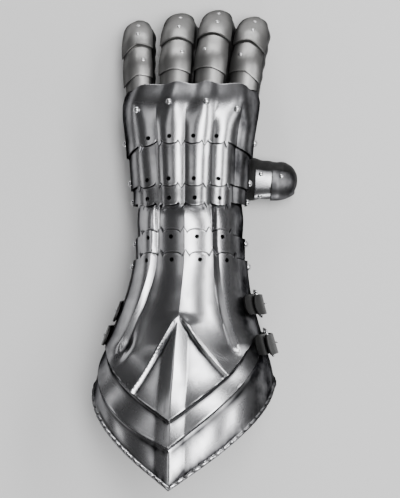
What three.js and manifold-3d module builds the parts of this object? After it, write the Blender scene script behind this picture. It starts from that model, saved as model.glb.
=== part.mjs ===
// A left-hand hourglass gauntlet: polished steel plates over a black leather glove.
// Millimetres. +X is the thumb side, +Y the fingers, +Z up. It lies palm down.
// Angles run round the arm: 0 at the top, +90 on the thumb side, -90 on the little-finger side.
import * as THREE from 'three';
import { mergeVertices } from 'three/addons/utils/BufferGeometryUtils.js';
import Module from 'manifold-3d';

const wasm = await Module();
wasm.setup();

// ---------------------------------------------------------------- driving dimensions
const STEEL = 1.2; // thickness of every plate
const SEAM = 0.6; // free space between two plates that overlap
const STEP = STEEL + SEAM; // one plate lies this much above the next
const LEATHER = 1.6; // thickness of the glove's wall
const STRAP = { thick: 1.6, width: 15 };
const HOLE = { radius: 1.7, sides: 6 };
const PIVOT = { shank: 1.3, bore: 1.9, head: 2.7, height: 1.9 };
const KNUCKLE_RIVET = { shank: 1.1, bore: 1.5, head: 2.7, height: 1.8 };
const PLATE_RIVET = { head: 1.9, height: 1 };
const GAP = 0.3; // between pieces that are fastened to each other
const RIVET_GAP = 0.6; // under a rivet's head and over its washer

const STEEL_LOOK = { color: 0xb9bcc2, roughness: 0.16, metalness: 1 };
const SATIN_LOOK = { color: 0x9d9b9b, roughness: 0.32, metalness: 1 };
const RIVET_LOOK = { color: 0xc9ccd0, roughness: 0.2, metalness: 1 };
const LEATHER_LOOK = { color: 0x0c0b0b, roughness: 0.55, metalness: 0 };

// ---------------------------------------------------------------- tables and curves
const clamp = THREE.MathUtils.clamp;
const lerp = THREE.MathUtils.lerp;
const smoothstep = THREE.MathUtils.smoothstep;
const radians = THREE.MathUtils.degToRad;
const vector = (x, y, z) => new THREE.Vector3(x, y, z);

// Reads a table whose rows stand at rising values of `key`; each column is a smooth curve through its rows.
class SmoothTable {
  constructor(key, rows) {
    this.key = key;
    this.rows = rows;
  }

  slope(index, column) {
    const before = this.rows[Math.max(index - 1, 0)];
    const after = this.rows[Math.min(index + 1, this.rows.length - 1)];
    return (after[column] - before[column]) / (after[this.key] - before[this.key]);
  }

  at(place, column) {
    const { rows, key } = this;
    const x = clamp(place, rows[0][key], rows[rows.length - 1][key]);
    let index = 0;
    while (index < rows.length - 2 && rows[index + 1][key] < x) index += 1;
    const [a, b] = [rows[index], rows[index + 1]];
    const span = b[key] - a[key];
    const t = (x - a[key]) / span;
    const value = lerp(a[column], b[column], t * t * (3 - 2 * t));
    const rise = this.slope(index, column) * span * t * (1 - t) * (1 - t);
    const fall = this.slope(index + 1, column) * span * t * t * (1 - t);
    return value + rise - fall;
  }
}

// The form under the plates, a row for each station from the cuff's point to the knuckles.
// half: half width; axis: height of the widest line; rise and drop: height above and below it;
// ridge: angle of the medial ridge; flute: angle between the ridge and each flute of the cuff.
const ARM = new SmoothTable('y', [
  { y: -175, centre: -4.5, half: 66.5, axis: 47.0, rise: 54.0, drop: 62.0, ridge: -5.0, flute: 50 },
  { y: -140, centre: -4.5, half: 66.5, axis: 46.5, rise: 49.0, drop: 62.0, ridge: -5.0, flute: 50 },
  { y: -109, centre: -4.0, half: 66.0, axis: 45.5, rise: 46.5, drop: 61.0, ridge: -5.0, flute: 50 },
  { y: -88, centre: -3.3, half: 62.5, axis: 44.0, rise: 44.0, drop: 59.0, ridge: -4.5, flute: 49 },
  { y: -70, centre: -2.8, half: 56.8, axis: 42.5, rise: 41.0, drop: 51.0, ridge: -4.5, flute: 47 },
  { y: -51, centre: -2.2, half: 50.5, axis: 41.0, rise: 37.0, drop: 44.5, ridge: -4.0, flute: 43 },
  { y: -30, centre: -1.2, half: 44.0, axis: 39.5, rise: 32.5, drop: 38.5, ridge: -3.5, flute: 39 },
  { y: -8, centre: 0.0, half: 40.2, axis: 38.0, rise: 28.8, drop: 33.0, ridge: -3.0, flute: 36 },
  { y: 10, centre: 0.0, half: 40.0, axis: 37.5, rise: 28.5, drop: 30.0, ridge: -3.0, flute: 35 },
  { y: 28, centre: 0.0, half: 40.4, axis: 37.0, rise: 28.6, drop: 28.0, ridge: -3.0, flute: 35 },
  { y: 42, centre: -0.3, half: 39.6, axis: 36.5, rise: 25.5, drop: 27.0, ridge: -3.0, flute: 35 },
  { y: 56, centre: -0.5, half: 39.8, axis: 36.0, rise: 22.5, drop: 26.0, ridge: -2.0, flute: 35 },
  { y: 88, centre: -0.7, half: 42.2, axis: 34.5, rise: 19.5, drop: 24.0, ridge: -1.0, flute: 35 },
  { y: 116, centre: 0.3, half: 45.5, axis: 34.0, rise: 18.5, drop: 23.0, ridge: -1.0, flute: 35 },
  { y: 134, centre: 2.8, half: 43.0, axis: 33.5, rise: 11.0, drop: 22.0, ridge: -1.0, flute: 35 },
]);

// A point of the arm's form, lifted square off its cross-section.
function armPoint(y, angle, lift) {
  const half = ARM.at(y, 'half');
  const sine = Math.sin(radians(angle));
  const cosine = Math.cos(radians(angle));
  const height = cosine >= 0 ? ARM.at(y, 'rise') : ARM.at(y, 'drop');
  const out = vector(sine * height, 0, cosine * half).normalize();
  const x = ARM.at(y, 'centre') + half * sine + lift * out.x;
  return vector(x, y, ARM.at(y, 'axis') + height * cosine + lift * out.z);
}

// The direction that points out of the arm's form.
function armNormal(y, angle) {
  return armPoint(y, angle, 1).sub(armPoint(y, angle, 0)).normalize();
}

// ---------------------------------------------------------------- solids
// Welds a closed geometry and hands it to the solid modeller, turned outwards where it is inside out.
function toSolid(geometry) {
  const bare = geometry.clone();
  bare.deleteAttribute('normal');
  bare.deleteAttribute('uv');
  const welded = mergeVertices(bare, 1e-4);
  const position = welded.attributes.position;
  const index = welded.index.array;
  const kept = [];
  let volume = 0;
  for (let i = 0; i < index.length; i += 3) {
    const corners = [index[i], index[i + 1], index[i + 2]];
    if (new Set(corners).size < 3) continue;
    kept.push(...corners);
    const [a, b, c] = corners.map((corner) => new THREE.Vector3().fromBufferAttribute(position, corner));
    volume += a.dot(b.cross(c));
  }
  if (volume < 0) kept.reverse();
  const mesh = new wasm.Mesh({
    numProp: 3,
    vertProperties: Float32Array.from(position.array),
    triVerts: Uint32Array.from(kept),
  });
  return new wasm.Manifold(mesh);
}

function toMesh(name, solid, look) {
  const { vertProperties, triVerts } = solid.getMesh();
  const geometry = new THREE.BufferGeometry();
  geometry.setAttribute('position', new THREE.BufferAttribute(Float32Array.from(vertProperties), 3));
  geometry.setIndex(Array.from(triVerts));
  geometry.computeVertexNormals();
  const mesh = new THREE.Mesh(geometry, new THREE.MeshStandardMaterial(look));
  mesh.name = name;
  return mesh;
}

// A wall between two sheets of points, outer[row][column] and inner[row][column], closed round its edges.
function wall(outer, inner) {
  const rows = outer.length;
  const columns = outer[0].length;
  const points = [...outer.flat(), ...inner.flat()];
  const index = [];
  const at = (side, row, column) => side * rows * columns + row * columns + column;
  const quad = (a, b, c, d) => index.push(a, b, c, a, c, d);
  for (let row = 0; row < rows - 1; row += 1) {
    for (let column = 0; column < columns - 1; column += 1) {
      quad(at(0, row, column), at(0, row, column + 1), at(0, row + 1, column + 1), at(0, row + 1, column));
      quad(at(1, row, column), at(1, row + 1, column), at(1, row + 1, column + 1), at(1, row, column + 1));
    }
    quad(at(0, row, 0), at(0, row + 1, 0), at(1, row + 1, 0), at(1, row, 0));
    const last = columns - 1;
    quad(at(0, row, last), at(1, row, last), at(1, row + 1, last), at(0, row + 1, last));
  }
  for (let column = 0; column < columns - 1; column += 1) {
    const last = rows - 1;
    quad(at(0, 0, column), at(1, 0, column), at(1, 0, column + 1), at(0, 0, column + 1));
    quad(at(0, last, column), at(0, last, column + 1), at(1, last, column + 1), at(1, last, column));
  }
  const geometry = new THREE.BufferGeometry();
  geometry.setFromPoints(points);
  geometry.setIndex(index);
  return toSolid(geometry);
}

// A closed body through rings of points, each ring with as many points as the next.
function loft(rings) {
  const sides = rings[0].length;
  const points = rings.flat();
  const index = [];
  for (let ring = 0; ring < rings.length - 1; ring += 1) {
    for (let side = 0; side < sides; side += 1) {
      const next = (side + 1) % sides;
      const [a, b] = [ring * sides + side, ring * sides + next];
      index.push(a, b, b + sides, a, b + sides, a + sides);
    }
  }
  for (const [start, turn] of [[0, 1], [(rings.length - 1) * sides, -1]]) {
    for (let side = 1; side < sides - 1; side += 1) {
      const pair = turn > 0 ? [side + 1, side] : [side, side + 1];
      index.push(start, start + pair[0], start + pair[1]);
    }
  }
  const geometry = new THREE.BufferGeometry();
  geometry.setFromPoints(points);
  geometry.setIndex(index);
  return toSolid(geometry);
}

// Turns a geometry made along +Y so that it points along `direction`, at `place`.
function aim(geometry, place, direction) {
  const turn = new THREE.Quaternion().setFromUnitVectors(vector(0, 1, 0), direction.clone().normalize());
  return geometry.applyQuaternion(turn).translate(place.x, place.y, place.z);
}

function drill(place, direction, radius, depth) {
  return toSolid(aim(new THREE.CylinderGeometry(radius, radius, depth, HOLE.sides), place, direction));
}

// A rivet turned about its shank: domed head from `height` down to 0, shank, and a washer peened on below.
function rivet(place, direction, size, grip) {
  const washer = size.head * 0.85;
  const profile = [
    [0, size.height], [size.head * 0.65, size.height * 0.75], [size.head, 0],
    [size.shank, 0], [size.shank, -grip], [washer, -grip], [washer, -grip - 0.9], [0, -grip - 0.9],
  ].map(([x, y]) => new THREE.Vector2(x, y));
  return toSolid(aim(new THREE.LatheGeometry(profile, 6), place, direction));
}

// A small dome struck up on a plate, sunk a little into it.
function dome(place, direction) {
  const { head, height } = PLATE_RIVET;
  const profile = [[0, height], [head * 0.7, height * 0.7], [head, 0], [head * 0.9, -0.5], [0, -0.5]];
  const turned = new THREE.LatheGeometry(profile.map(([x, y]) => new THREE.Vector2(x, y)), 6);
  return toSolid(aim(turned, place, direction));
}

// ---------------------------------------------------------------- relief hammered into the plates
// Lobed wrist and hand: valleys at these angles, a convex lobe between each two.
const VALLEYS = [-76, -30, -2, 25, 53, 82];
// Broad knuckles: valleys between the fingers, seen from the hand plate's front.
const KNUCKLE_VALLEYS = [-80, -29, 1, 29, 76];
const LOBE = 2.2;
const KNUCKLE = 2.4;
const RIDGE = { height: 1.9, valley: -1.3, crest: 2.1, riser: 5, fade: 38 };
const SHOULDER = { angle: 62, width: 12, height: 0.7 };

// Where an angle lies between two valleys: -1 at one, +1 at the next, or null outside them all.
function betweenValleys(valleys, angle) {
  for (let i = 0; i < valleys.length - 1; i += 1) {
    if (angle >= valleys[i] && angle <= valleys[i + 1]) {
      return (2 * (angle - valleys[i])) / (valleys[i + 1] - valleys[i]) - 1;
    }
  }
  return null;
}

function lobes(angle) {
  const u = betweenValleys(VALLEYS, angle);
  return u === null ? 0 : LOBE * (1 - u * u);
}

function knuckles(angle) {
  const u = betweenValleys(KNUCKLE_VALLEYS, angle);
  return u === null ? 0 : (KNUCKLE * (1 + Math.cos(Math.PI * u))) / 2;
}

// The cuff's section: a sharp medial ridge and, on each side, a flute with a narrow riser that faces it.
function ridged(y, angle) {
  const off = Math.abs(angle - ARM.at(y, 'ridge'));
  const flute = ARM.at(y, 'flute');
  const foot = flute - RIDGE.riser;
  const shoulder = SHOULDER.height * Math.max(0, 1 - Math.abs(off - SHOULDER.angle) / SHOULDER.width);
  if (off < foot) return lerp(RIDGE.height, RIDGE.valley, off / foot);
  if (off < flute) return lerp(RIDGE.valley, RIDGE.crest, (off - foot) / RIDGE.riser);
  return RIDGE.crest * (1 - smoothstep(off, flute, flute + RIDGE.fade)) + shoulder;
}

// Lines that run round the cuff as chevrons: y on the ridge, then how fast they run forward per degree.
const CHEVRONS = [
  { tip: -121, left: 0.75, leftCurve: 0.0, right: 0.92, height: 2.6, reach: 17 },
  { tip: -140.5, left: 0.42, leftCurve: 0.005, right: 0.98, height: 2.6, reach: 15 },
];
const CHEVRON_RISER = 2.4;
const CHEVRON_END = 85; // past this angle from the ridge the chevrons run straight
const CHEVRON_FADE = { from: 64, to: 86 }; // and between these they run out
const RIM = { tip: -172, slope: 0.82, bend: 84, under: 0.25, bead: 1.7, width: 4.2 };
// The kite: its apex on the ridge, its two corners at angles off the ridge.
const KITE = {
  apex: -42, left: -24.7, leftY: -100, right: 34, rightY: -88, height: 2.3, reach: 20, riser: 2.4,
};
const KEEL = { height: 2.3, width: 9 };
const FLARE_Y = -110; // the cuff is widest here
const DEGREE = 1.15; // millimetres round the cuff for one degree, about the kite
const FLUTE_END = { from: -66, to: -76 };
const HOLLOW = { y: -70, depth: 2.2, angle: 5, length: 9 }; // the left flute ends in a deep hollow

const offRidge = (y, angle) => angle - ARM.at(y, 'ridge');

function chevronY(line, off) {
  const turn = Math.min(Math.abs(off), CHEVRON_END);
  return line.tip + (off < 0 ? line.left * turn + line.leftCurve * turn * turn : line.right * turn);
}

function rimY(off) {
  const turn = Math.abs(off);
  return RIM.tip + RIM.slope * Math.min(turn, RIM.bend) + RIM.under * Math.max(0, turn - RIM.bend);
}

// A crest scooped up to from one side over `reach`, and dropped from over `riser` on the other.
function crest(behind, height, reach, riser) {
  if (behind <= 0) return height * Math.max(0, 1 + behind / reach) ** 2;
  return height * Math.max(0, 1 - behind / riser);
}

// Distance outside the kite's upper edges; less than 0 inside it.
function outsideKite(off, y) {
  const [corner, cornerY] = off < 0 ? [KITE.left, KITE.leftY] : [KITE.right, KITE.rightY];
  const run = Math.abs(corner) * DEGREE;
  const fall = KITE.apex - cornerY;
  return (fall * Math.abs(off) * DEGREE - run * (KITE.apex - y)) / Math.hypot(run, fall);
}

function cuffRelief(y, angle) {
  const off = offRidge(y, angle);
  const run = Math.cos(Math.atan(CHEVRONS[0].right / DEGREE));
  const behind = CHEVRONS.map((line) => (chevronY(line, off) - y) * run);
  const sides = 1 - smoothstep(Math.abs(off), CHEVRON_FADE.from, CHEVRON_FADE.to);
  let relief = ridged(y, angle) * smoothstep(y, FLUTE_END.to, FLUTE_END.from);
  const alongHollow = (y - HOLLOW.y) / HOLLOW.length;
  const acrossHollow = (off + ARM.at(y, 'flute') - RIDGE.riser) / HOLLOW.angle;
  relief -= HOLLOW.depth * Math.exp(-(alongHollow ** 2) - acrossHollow ** 2);
  const outside = outsideKite(off, y);
  const keel = KEEL.height * Math.max(0, 1 - Math.abs(off) / KEEL.width);
  if (y < KITE.apex) {
    const start = smoothstep(KITE.apex - y, 0, 10);
    const within = behind[0] > 0 ? 1 : clamp(-outside / KITE.riser, 0, 1);
    const flank = KITE.height * start * Math.max(0, 1 - Math.max(outside, 0) / KITE.reach) ** 2;
    relief = lerp(relief + flank, keel, within);
  }
  CHEVRONS.forEach((line, i) => {
    relief += sides * crest(behind[i], line.height, line.reach, CHEVRON_RISER);
  });
  return relief;
}

// The edge is turned outwards over a wire: a bead that stands off the last few millimetres.
function rimBead(y, angle) {
  const inFromRim = y - rimY(offRidge(y, angle));
  const across = clamp(inFromRim / RIM.width, 0, 1) * 2 - 1;
  return RIM.bead * Math.sqrt(Math.max(0, 1 - across * across));
}

// ---------------------------------------------------------------- wrist and hand plates
const LOBED_END = { from: 36, to: 43 }; // where the lobed form gives way to the ridged one
const KNUCKLE_START = { from: 96, to: 120 };
const FORMS = {
  knuckled: (y, angle) => {
    return lerp(lobes(angle), knuckles(angle), smoothstep(y, KNUCKLE_START.from, KNUCKLE_START.to));
  },
  lobed: (y, angle) => lobes(angle),
  between: (y, angle) => lerp(ridged(y, angle), lobes(angle), smoothstep(y, LOBED_END.from, LOBED_END.to)),
  ridged,
  cuff: cuffRelief,
};

// From the hand to the cuff. level: inner face above the arm's form; front and rear: edges at the top;
// bow: how far an edge runs back at the sides; scalloped: the edge that is cut in lobes and teeth;
// hole, pitch: angle of the first hole and between holes; little, thumb: angles of the side edges;
// sink: how far a hidden end dips, so that the next plate can tilt over it.
const LAMES = [
  { name: 'hand_plate', form: 'knuckled', level: 7.4, front: 132, rear: 88.6, bowFront: 5, bowRear: 13,
    scalloped: 'rear', hole: -39, pitch: 22.5, little: -112, thumb: 104, sinkFront: 0, sinkRear: 0 },
  { name: 'hand_lame_front', form: 'lobed', level: 5.6, front: 95, rear: 56, bowFront: 0, bowRear: 6,
    scalloped: 'rear', hole: -43, pitch: 25, little: -112, thumb: 103, sinkFront: 0.7, sinkRear: 0 },
  { name: 'hand_lame_back', form: 'lobed', level: 3.8, front: 64, rear: 41.2, bowFront: 0, bowRear: 3,
    scalloped: 'rear', hole: -44, pitch: 26, little: -112, thumb: 103, sinkFront: 0.7, sinkRear: 0 },
  { name: 'wrist_lame_front', form: 'between', level: 0, front: 48, rear: 2, bowFront: 0, bowRear: 0,
    scalloped: 'none', hole: -44, pitch: 27, little: -114, thumb: 103, sinkFront: 0.6, sinkRear: 0.6 },
  { name: 'wrist_lame_back', form: 'ridged', level: 1.8, front: 16.5, rear: -16, bowFront: 4, bowRear: 0,
    scalloped: 'front', hole: -44, pitch: 27, little: -124, thumb: 124, sinkFront: 0, sinkRear: 1 },
  { name: 'cuff', form: 'cuff', level: 3.6, front: -1, rear: RIM.tip, bowFront: 3.5, bowRear: 0,
    scalloped: 'front', hole: -44, pitch: 28.5, little: -132, thumb: 132, sinkFront: 0, sinkRear: 0 },
];
const SCALLOP = { lobe: 3, tooth: 4.5, notch: 0.72, count: 4 };
const SCALLOP_STOPS = { rear: [-1, -0.72, 0, 0.72], front: [-1, -0.72, -0.36, 0.36, 0.72] };
const HOLE_INSET = 2.4; // from the notches' line into the plate
const SIDE_STOPS = [0.2, 0.4, 0.6, 0.8, 1];
const FRONT_ARC = 2.2; // the hand plate's front edge bulges this much over each finger
const BOW = { from: 28, to: 86 }; // the edges turn back between these angles from the top

// How far the scalloped edge reaches past the line of its notches.
function scallop(lame, angle) {
  const place = (angle - lame.hole) / lame.pitch + 0.5;
  if (place < -0.01 || place > SCALLOP.count + 0.01) return 0;
  const u = Math.abs((place - Math.floor(clamp(place, 0, SCALLOP.count - 0.001))) * 2 - 1);
  if (u < SCALLOP.notch) return SCALLOP.lobe * Math.sqrt(1 - (u / SCALLOP.notch) ** 2);
  return (SCALLOP.tooth * (u - SCALLOP.notch)) / (1 - SCALLOP.notch);
}

function edgeY(lame, which, angle) {
  if (lame.form === 'cuff' && which === 'rear') return rimY(offRidge(FLARE_Y, angle));
  const atFront = which === 'front';
  const line = atFront ? lame.front : lame.rear;
  const bow = atFront ? lame.bowFront : lame.bowRear;
  let y = line - bow * smoothstep(Math.abs(angle), BOW.from, BOW.to);
  if (lame.scalloped === which) y += (atFront ? 1 : -1) * scallop(lame, angle);
  if (lame.form === 'knuckled' && atFront) y += (FRONT_ARC * knuckles(angle)) / KNUCKLE;
  return y;
}

// Columns of a plate follow what is hammered into it; the others stand where its edge turns.
const WRIST = { ridge: -3, flute: 36 };
const FLUTED = [-WRIST.flute, RIDGE.riser - WRIST.flute, 0, WRIST.flute - RIDGE.riser, WRIST.flute];
const FLUTED_COLUMNS = FLUTED.map((off) => WRIST.ridge + off);
const LOBED_COLUMNS = VALLEYS.flatMap((valley, i) => {
  if (i === 0) return [valley];
  return [lerp(VALLEYS[i - 1], valley, 0.25), lerp(VALLEYS[i - 1], valley, 0.75), valley];
});
const FEATURES = {
  knuckled: LOBED_COLUMNS,
  lobed: LOBED_COLUMNS,
  between: FLUTED_COLUMNS,
  ridged: FLUTED_COLUMNS,
  cuff: FLUTED_COLUMNS,
};
const COLUMN_GAP = 1.6;

function lameColumns(lame) {
  const first = lame.hole - lame.pitch / 2;
  const last = first + lame.pitch * SCALLOP.count;
  const features = FEATURES[lame.form].filter((angle) => angle > lame.little + 4 && angle < lame.thumb - 4);
  const others = [first, last];
  for (const stop of SIDE_STOPS) others.push(lerp(first, lame.little, stop), lerp(last, lame.thumb, stop));
  for (let i = 0; i < SCALLOP.count; i += 1) {
    const middle = lame.hole + i * lame.pitch;
    const stops = lame.scalloped === 'none' ? [-1, 0] : SCALLOP_STOPS[lame.scalloped];
    for (const stop of stops) others.push(middle + (stop * lame.pitch) / 2);
  }
  const clear = others.filter((angle) => {
    return features.every((feature) => Math.abs(feature - angle) > COLUMN_GAP);
  });
  return [...new Set([...features, ...clear])].sort((a, b) => a - b);
}

// The hand plate's sides rise towards the fingers: past SIDE_RISE.angle the sheet is drawn in.
const SIDE_RISE = { from: 106, to: 132, angle: 60, keep: 0.35 };

// The angle that a column has reached at y: the cuff's columns spread with its flutes.
function sheetAngle(lame, y, column) {
  if (lame.form === 'knuckled' && Math.abs(column) > SIDE_RISE.angle) {
    const keep = lerp(1, SIDE_RISE.keep, smoothstep(y, SIDE_RISE.from, SIDE_RISE.to));
    return Math.sign(column) * (SIDE_RISE.angle + (Math.abs(column) - SIDE_RISE.angle) * keep);
  }
  if (lame.form !== 'cuff') return column;
  const off = column - WRIST.ridge;
  const ridge = ARM.at(y, 'ridge');
  const flute = ARM.at(y, 'flute');
  if (Math.abs(off) < WRIST.flute) return ridge + (off * flute) / WRIST.flute;
  const edge = off < 0 ? lame.little : lame.thumb;
  const share = (Math.abs(off) - WRIST.flute) / (Math.abs(edge - WRIST.ridge) - WRIST.flute);
  return lerp(ridge + Math.sign(off) * flute, edge, share);
}

// Rows of a plate from its rear edge to its front edge, down one column.
function lameRows(lame, column) {
  const front = edgeY(lame, 'front', column);
  if (lame.form !== 'cuff') {
    const rear = edgeY(lame, 'rear', column);
    const stops = lame.form === 'knuckled' ? [0, 0.25, 0.5, 0.72, 1] : [0, 0.4, 1];
    return stops.map((stop) => lerp(rear, front, stop));
  }
  const off = offRidge(FLARE_Y, sheetAngle(lame, FLARE_Y, column));
  const rear = rimY(off);
  const [first, second] = CHEVRONS.map((line) => chevronY(line, off));
  const rim = [0, 0.5, 1].map((part) => rear + RIM.width * part);
  const bands = [second - CHEVRON_RISER, second, lerp(second, first, 0.55), first - CHEVRON_RISER, first];
  const body = [0.13, 0.28, 0.42, 0.56, 0.72, 0.88, 1].map((part) => lerp(first, front, part));
  const floor = rim[2] + 1;
  return [...rim, ...bands.map((y, i) => Math.max(y, floor + i * 0.8)), ...body];
}

function lameLift(lame, y, angle) {
  const front = edgeY(lame, 'front', angle);
  const rear = edgeY(lame, 'rear', angle);
  const toFront = smoothstep(y, lerp(rear, front, 0.5), front);
  const toRear = 1 - smoothstep(y, rear, lerp(rear, front, 0.5));
  return lame.level + FORMS[lame.form](y, angle) - lame.sinkFront * toFront - lame.sinkRear * toRear;
}

function lameHoles(lame) {
  if (lame.scalloped === 'none') return [];
  const sign = lame.scalloped === 'front' ? -1 : 1;
  return Array.from({ length: SCALLOP.count }, (_, i) => {
    const angle = lame.hole + i * lame.pitch;
    const plain = { ...lame, scalloped: 'none' };
    return { angle, y: edgeY(plain, lame.scalloped, angle) + sign * HOLE_INSET };
  });
}

function lameSolid(lame) {
  const columns = lameColumns(lame);
  const sheets = [STEEL, 0].map((thickness) => {
    const byColumn = columns.map((column) => lameRows(lame, column).map((y) => {
      const angle = sheetAngle(lame, y, column);
      const bead = lame.form === 'cuff' && thickness > 0 ? rimBead(y, angle) : 0;
      return armPoint(y, angle, lameLift(lame, y, angle) + thickness + bead);
    }));
    return byColumn[0].map((_, row) => byColumn.map((column) => column[row]));
  });
  let solid = wall(sheets[0], sheets[1]);
  for (const { angle, y } of lameHoles(lame)) {
    const place = armPoint(y, angle, lame.level + STEEL);
    solid = solid.subtract(drill(place, armNormal(y, angle), HOLE.radius, 14));
  }
  return solid;
}

// The outside of a plate and the direction square to it.
function lameTop(lame, y, angle) {
  const at = (dy, turn) => armPoint(y + dy, angle + turn, lameLift(lame, y + dy, angle + turn) + STEEL);
  const along = at(1.5, 0).sub(at(-1.5, 0));
  const round = at(0, 1.5).sub(at(0, -1.5));
  return { point: at(0, 0), normal: along.cross(round).normalize().negate() };
}

const lamesByName = Object.fromEntries(LAMES.map((lame) => [lame.name, lame]));
const steel = Object.fromEntries(LAMES.map((lame) => [lame.name, lameSolid(lame)]));

// The five wrist joints, each a pair of rivets at the widest line; the outer plate holds the rivets.
const JOINTS = [
  { name: 'knuckle_side', y: 87.5, outer: 'hand_plate', inner: 'hand_lame_front' },
  { name: 'hand_side', y: 56, outer: 'hand_lame_front', inner: 'hand_lame_back' },
  { name: 'wrist_front', y: 41, outer: 'hand_lame_back', inner: 'wrist_lame_front' },
  { name: 'wrist_back', y: 8.5, outer: 'wrist_lame_back', inner: 'wrist_lame_front' },
  { name: 'cuff_side', y: -9.5, outer: 'cuff', inner: 'wrist_lame_back' },
];
const SIDES = [{ side: 'thumb', angle: 90 }, { side: 'little', angle: -90 }];

const rivets = {};
for (const joint of JOINTS) {
  const [outer, inner] = [lamesByName[joint.outer], lamesByName[joint.inner]];
  for (const { side, angle } of SIDES) {
    const out = vector(Math.sign(angle), 0, 0);
    const top = armPoint(joint.y, angle, lameLift(outer, joint.y, angle) + STEEL + RIVET_GAP);
    const grip = lameLift(outer, joint.y, angle) - lameLift(inner, joint.y, angle) + STEEL + 2 * RIVET_GAP;
    rivets[`rivet_${joint.name}_${side}`] = rivet(top, out, PIVOT, grip);
    const bore = drill(top, out, PIVOT.bore, 20);
    steel[joint.outer] = steel[joint.outer].subtract(bore);
    steel[joint.inner] = steel[joint.inner].subtract(bore);
  }
}

// Four large rivets over the knuckles hold the hand plate to the glove; grip: from head to washer.
const KNUCKLE_RIVETS = [
  { name: 'knuckle_rivet_little', y: 112, angle: -51, grip: 8.2 },
  { name: 'knuckle_rivet_ring', y: 117.5, angle: -17.5, grip: 8.2 },
  { name: 'knuckle_rivet_middle', y: 117.5, angle: 16, grip: 8.2 },
  { name: 'knuckle_rivet_index', y: 112, angle: 47, grip: 8.2 },
];
for (const knuckle of KNUCKLE_RIVETS) {
  const { point, normal } = lameTop(lamesByName.hand_plate, knuckle.y, knuckle.angle);
  const top = point.clone().addScaledVector(normal, RIVET_GAP);
  rivets[knuckle.name] = rivet(top, normal, KNUCKLE_RIVET, knuckle.grip);
  knuckle.bore = drill(top, normal, KNUCKLE_RIVET.bore, 16);
  steel.hand_plate = steel.hand_plate.subtract(knuckle.bore);
}

const gauntlet = new THREE.Group();
for (const lame of LAMES) gauntlet.add(toMesh(lame.name, steel[lame.name], STEEL_LOOK));
for (const [name, solid] of Object.entries(rivets)) gauntlet.add(toMesh(name, solid, RIVET_LOOK));

// ---------------------------------------------------------------- fingers
// A row for each finger: start and tip of its middle line, half width of the leather at its ends, half
// height, the ends of its middle plate and tip plate along it (0 knuckle, 1 tip), and how far the rear
// edges of its plates run back on one side (+ the thumb side).
const FINGERS = [
  { name: 'little', x: -40.6, y: 127, z: 24, tipX: -43.6, tipY: 187, tipZ: 5.2, wide: 12.0, wideTip: 13.2,
    high: 9.6, middle: 0.23, tip: 0.59, skew: -0.11 },
  { name: 'ring', x: -12.0, y: 127, z: 35, tipX: -9.0, tipY: 192, tipZ: 4.6, wide: 13.0, wideTip: 14.0,
    high: 10.4, middle: 0.245, tip: 0.57, skew: -0.03 },
  { name: 'middle', x: 14.9, y: 127, z: 36, tipX: 21.6, tipY: 194, tipZ: 4.6, wide: 13.0, wideTip: 14.0,
    high: 10.4, middle: 0.25, tip: 0.6, skew: 0.02 },
  { name: 'index', x: 41.2, y: 127, z: 29, tipX: 50.6, tipY: 188.5, tipZ: 5.0, wide: 12.7, wideTip: 13.8,
    high: 10.0, middle: 0.24, tip: 0.58, skew: 0.08 },
];
// The thumb is one more row, on its side: it points outwards.
const THUMB = { name: 'thumb', x: 24, y: 62, z: 12, tipX: 84, tipY: 59, tipZ: 8.4, wide: 20.5, wideTip: 15,
  high: 9.6, middle: 0.43, tip: 0.64, skew: 0 };
// How much of a finger's drop it has made at each part of its length.
const FINGER_BEND = new SmoothTable('part', [
  { part: 0, drop: 0 },
  { part: 0.35, drop: 0.09 },
  { part: 0.65, drop: 0.42 },
  { part: 0.85, drop: 0.78 },
  { part: 1, drop: 1.02 },
]);
const TIP_DOME = 13; // length of the rounded end
const FINGER_SEAM = 0.7;
const FINGER_STEP = STEEL + FINGER_SEAM;
const FINGER_PLATE = { half: 49, overlap: 0.09, dip: 0.035, roll: -4 };
const THUMB_PLATE = { half: 43, overlap: 0.07, dip: 0, roll: 20 };
const THUMB_END = 0.94; // the thumb's tip plate stops short of the leather's tip

// A point on a finger: part runs from 0 at the knuckle to 1 at the tip, angle from 0 on top.
function fingerPoint(finger, part, angle, lift) {
  const start = vector(finger.x, finger.y, 0);
  const run = vector(finger.tipX, finger.tipY, 0).sub(start);
  const length = run.length();
  const along = run.clone().normalize();
  const across = vector(along.y, -along.x, 0);
  const height = (place) => lerp(finger.z, finger.tipZ, FINGER_BEND.at(place, 'drop'));
  const slope = (height(part + 0.02) - height(part - 0.02)) / (length * (part > 0.98 ? 0.02 : 0.04));
  const forward = along.add(vector(0, 0, slope)).normalize();
  const up = across.clone().cross(forward);
  const domeStart = 1 - TIP_DOME / length;
  const t = clamp((part - domeStart) / (1 - domeStart), 0, 1);
  const ring = Math.sqrt(1 - t * t);
  const wide = lerp(finger.wide, finger.wideTip, smoothstep(part, 0, 0.7));
  const middle = start.addScaledVector(run, part).add(vector(0, 0, height(part)));
  return middle
    .addScaledVector(forward, lift * t)
    .addScaledVector(across, (wide + lift) * ring * Math.sin(radians(angle)))
    .addScaledVector(up, (finger.high + lift) * ring * Math.cos(radians(angle)));
}

const STAND = { until: 0.38, gone: 0.62 }; // parts of a plate's length

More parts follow.
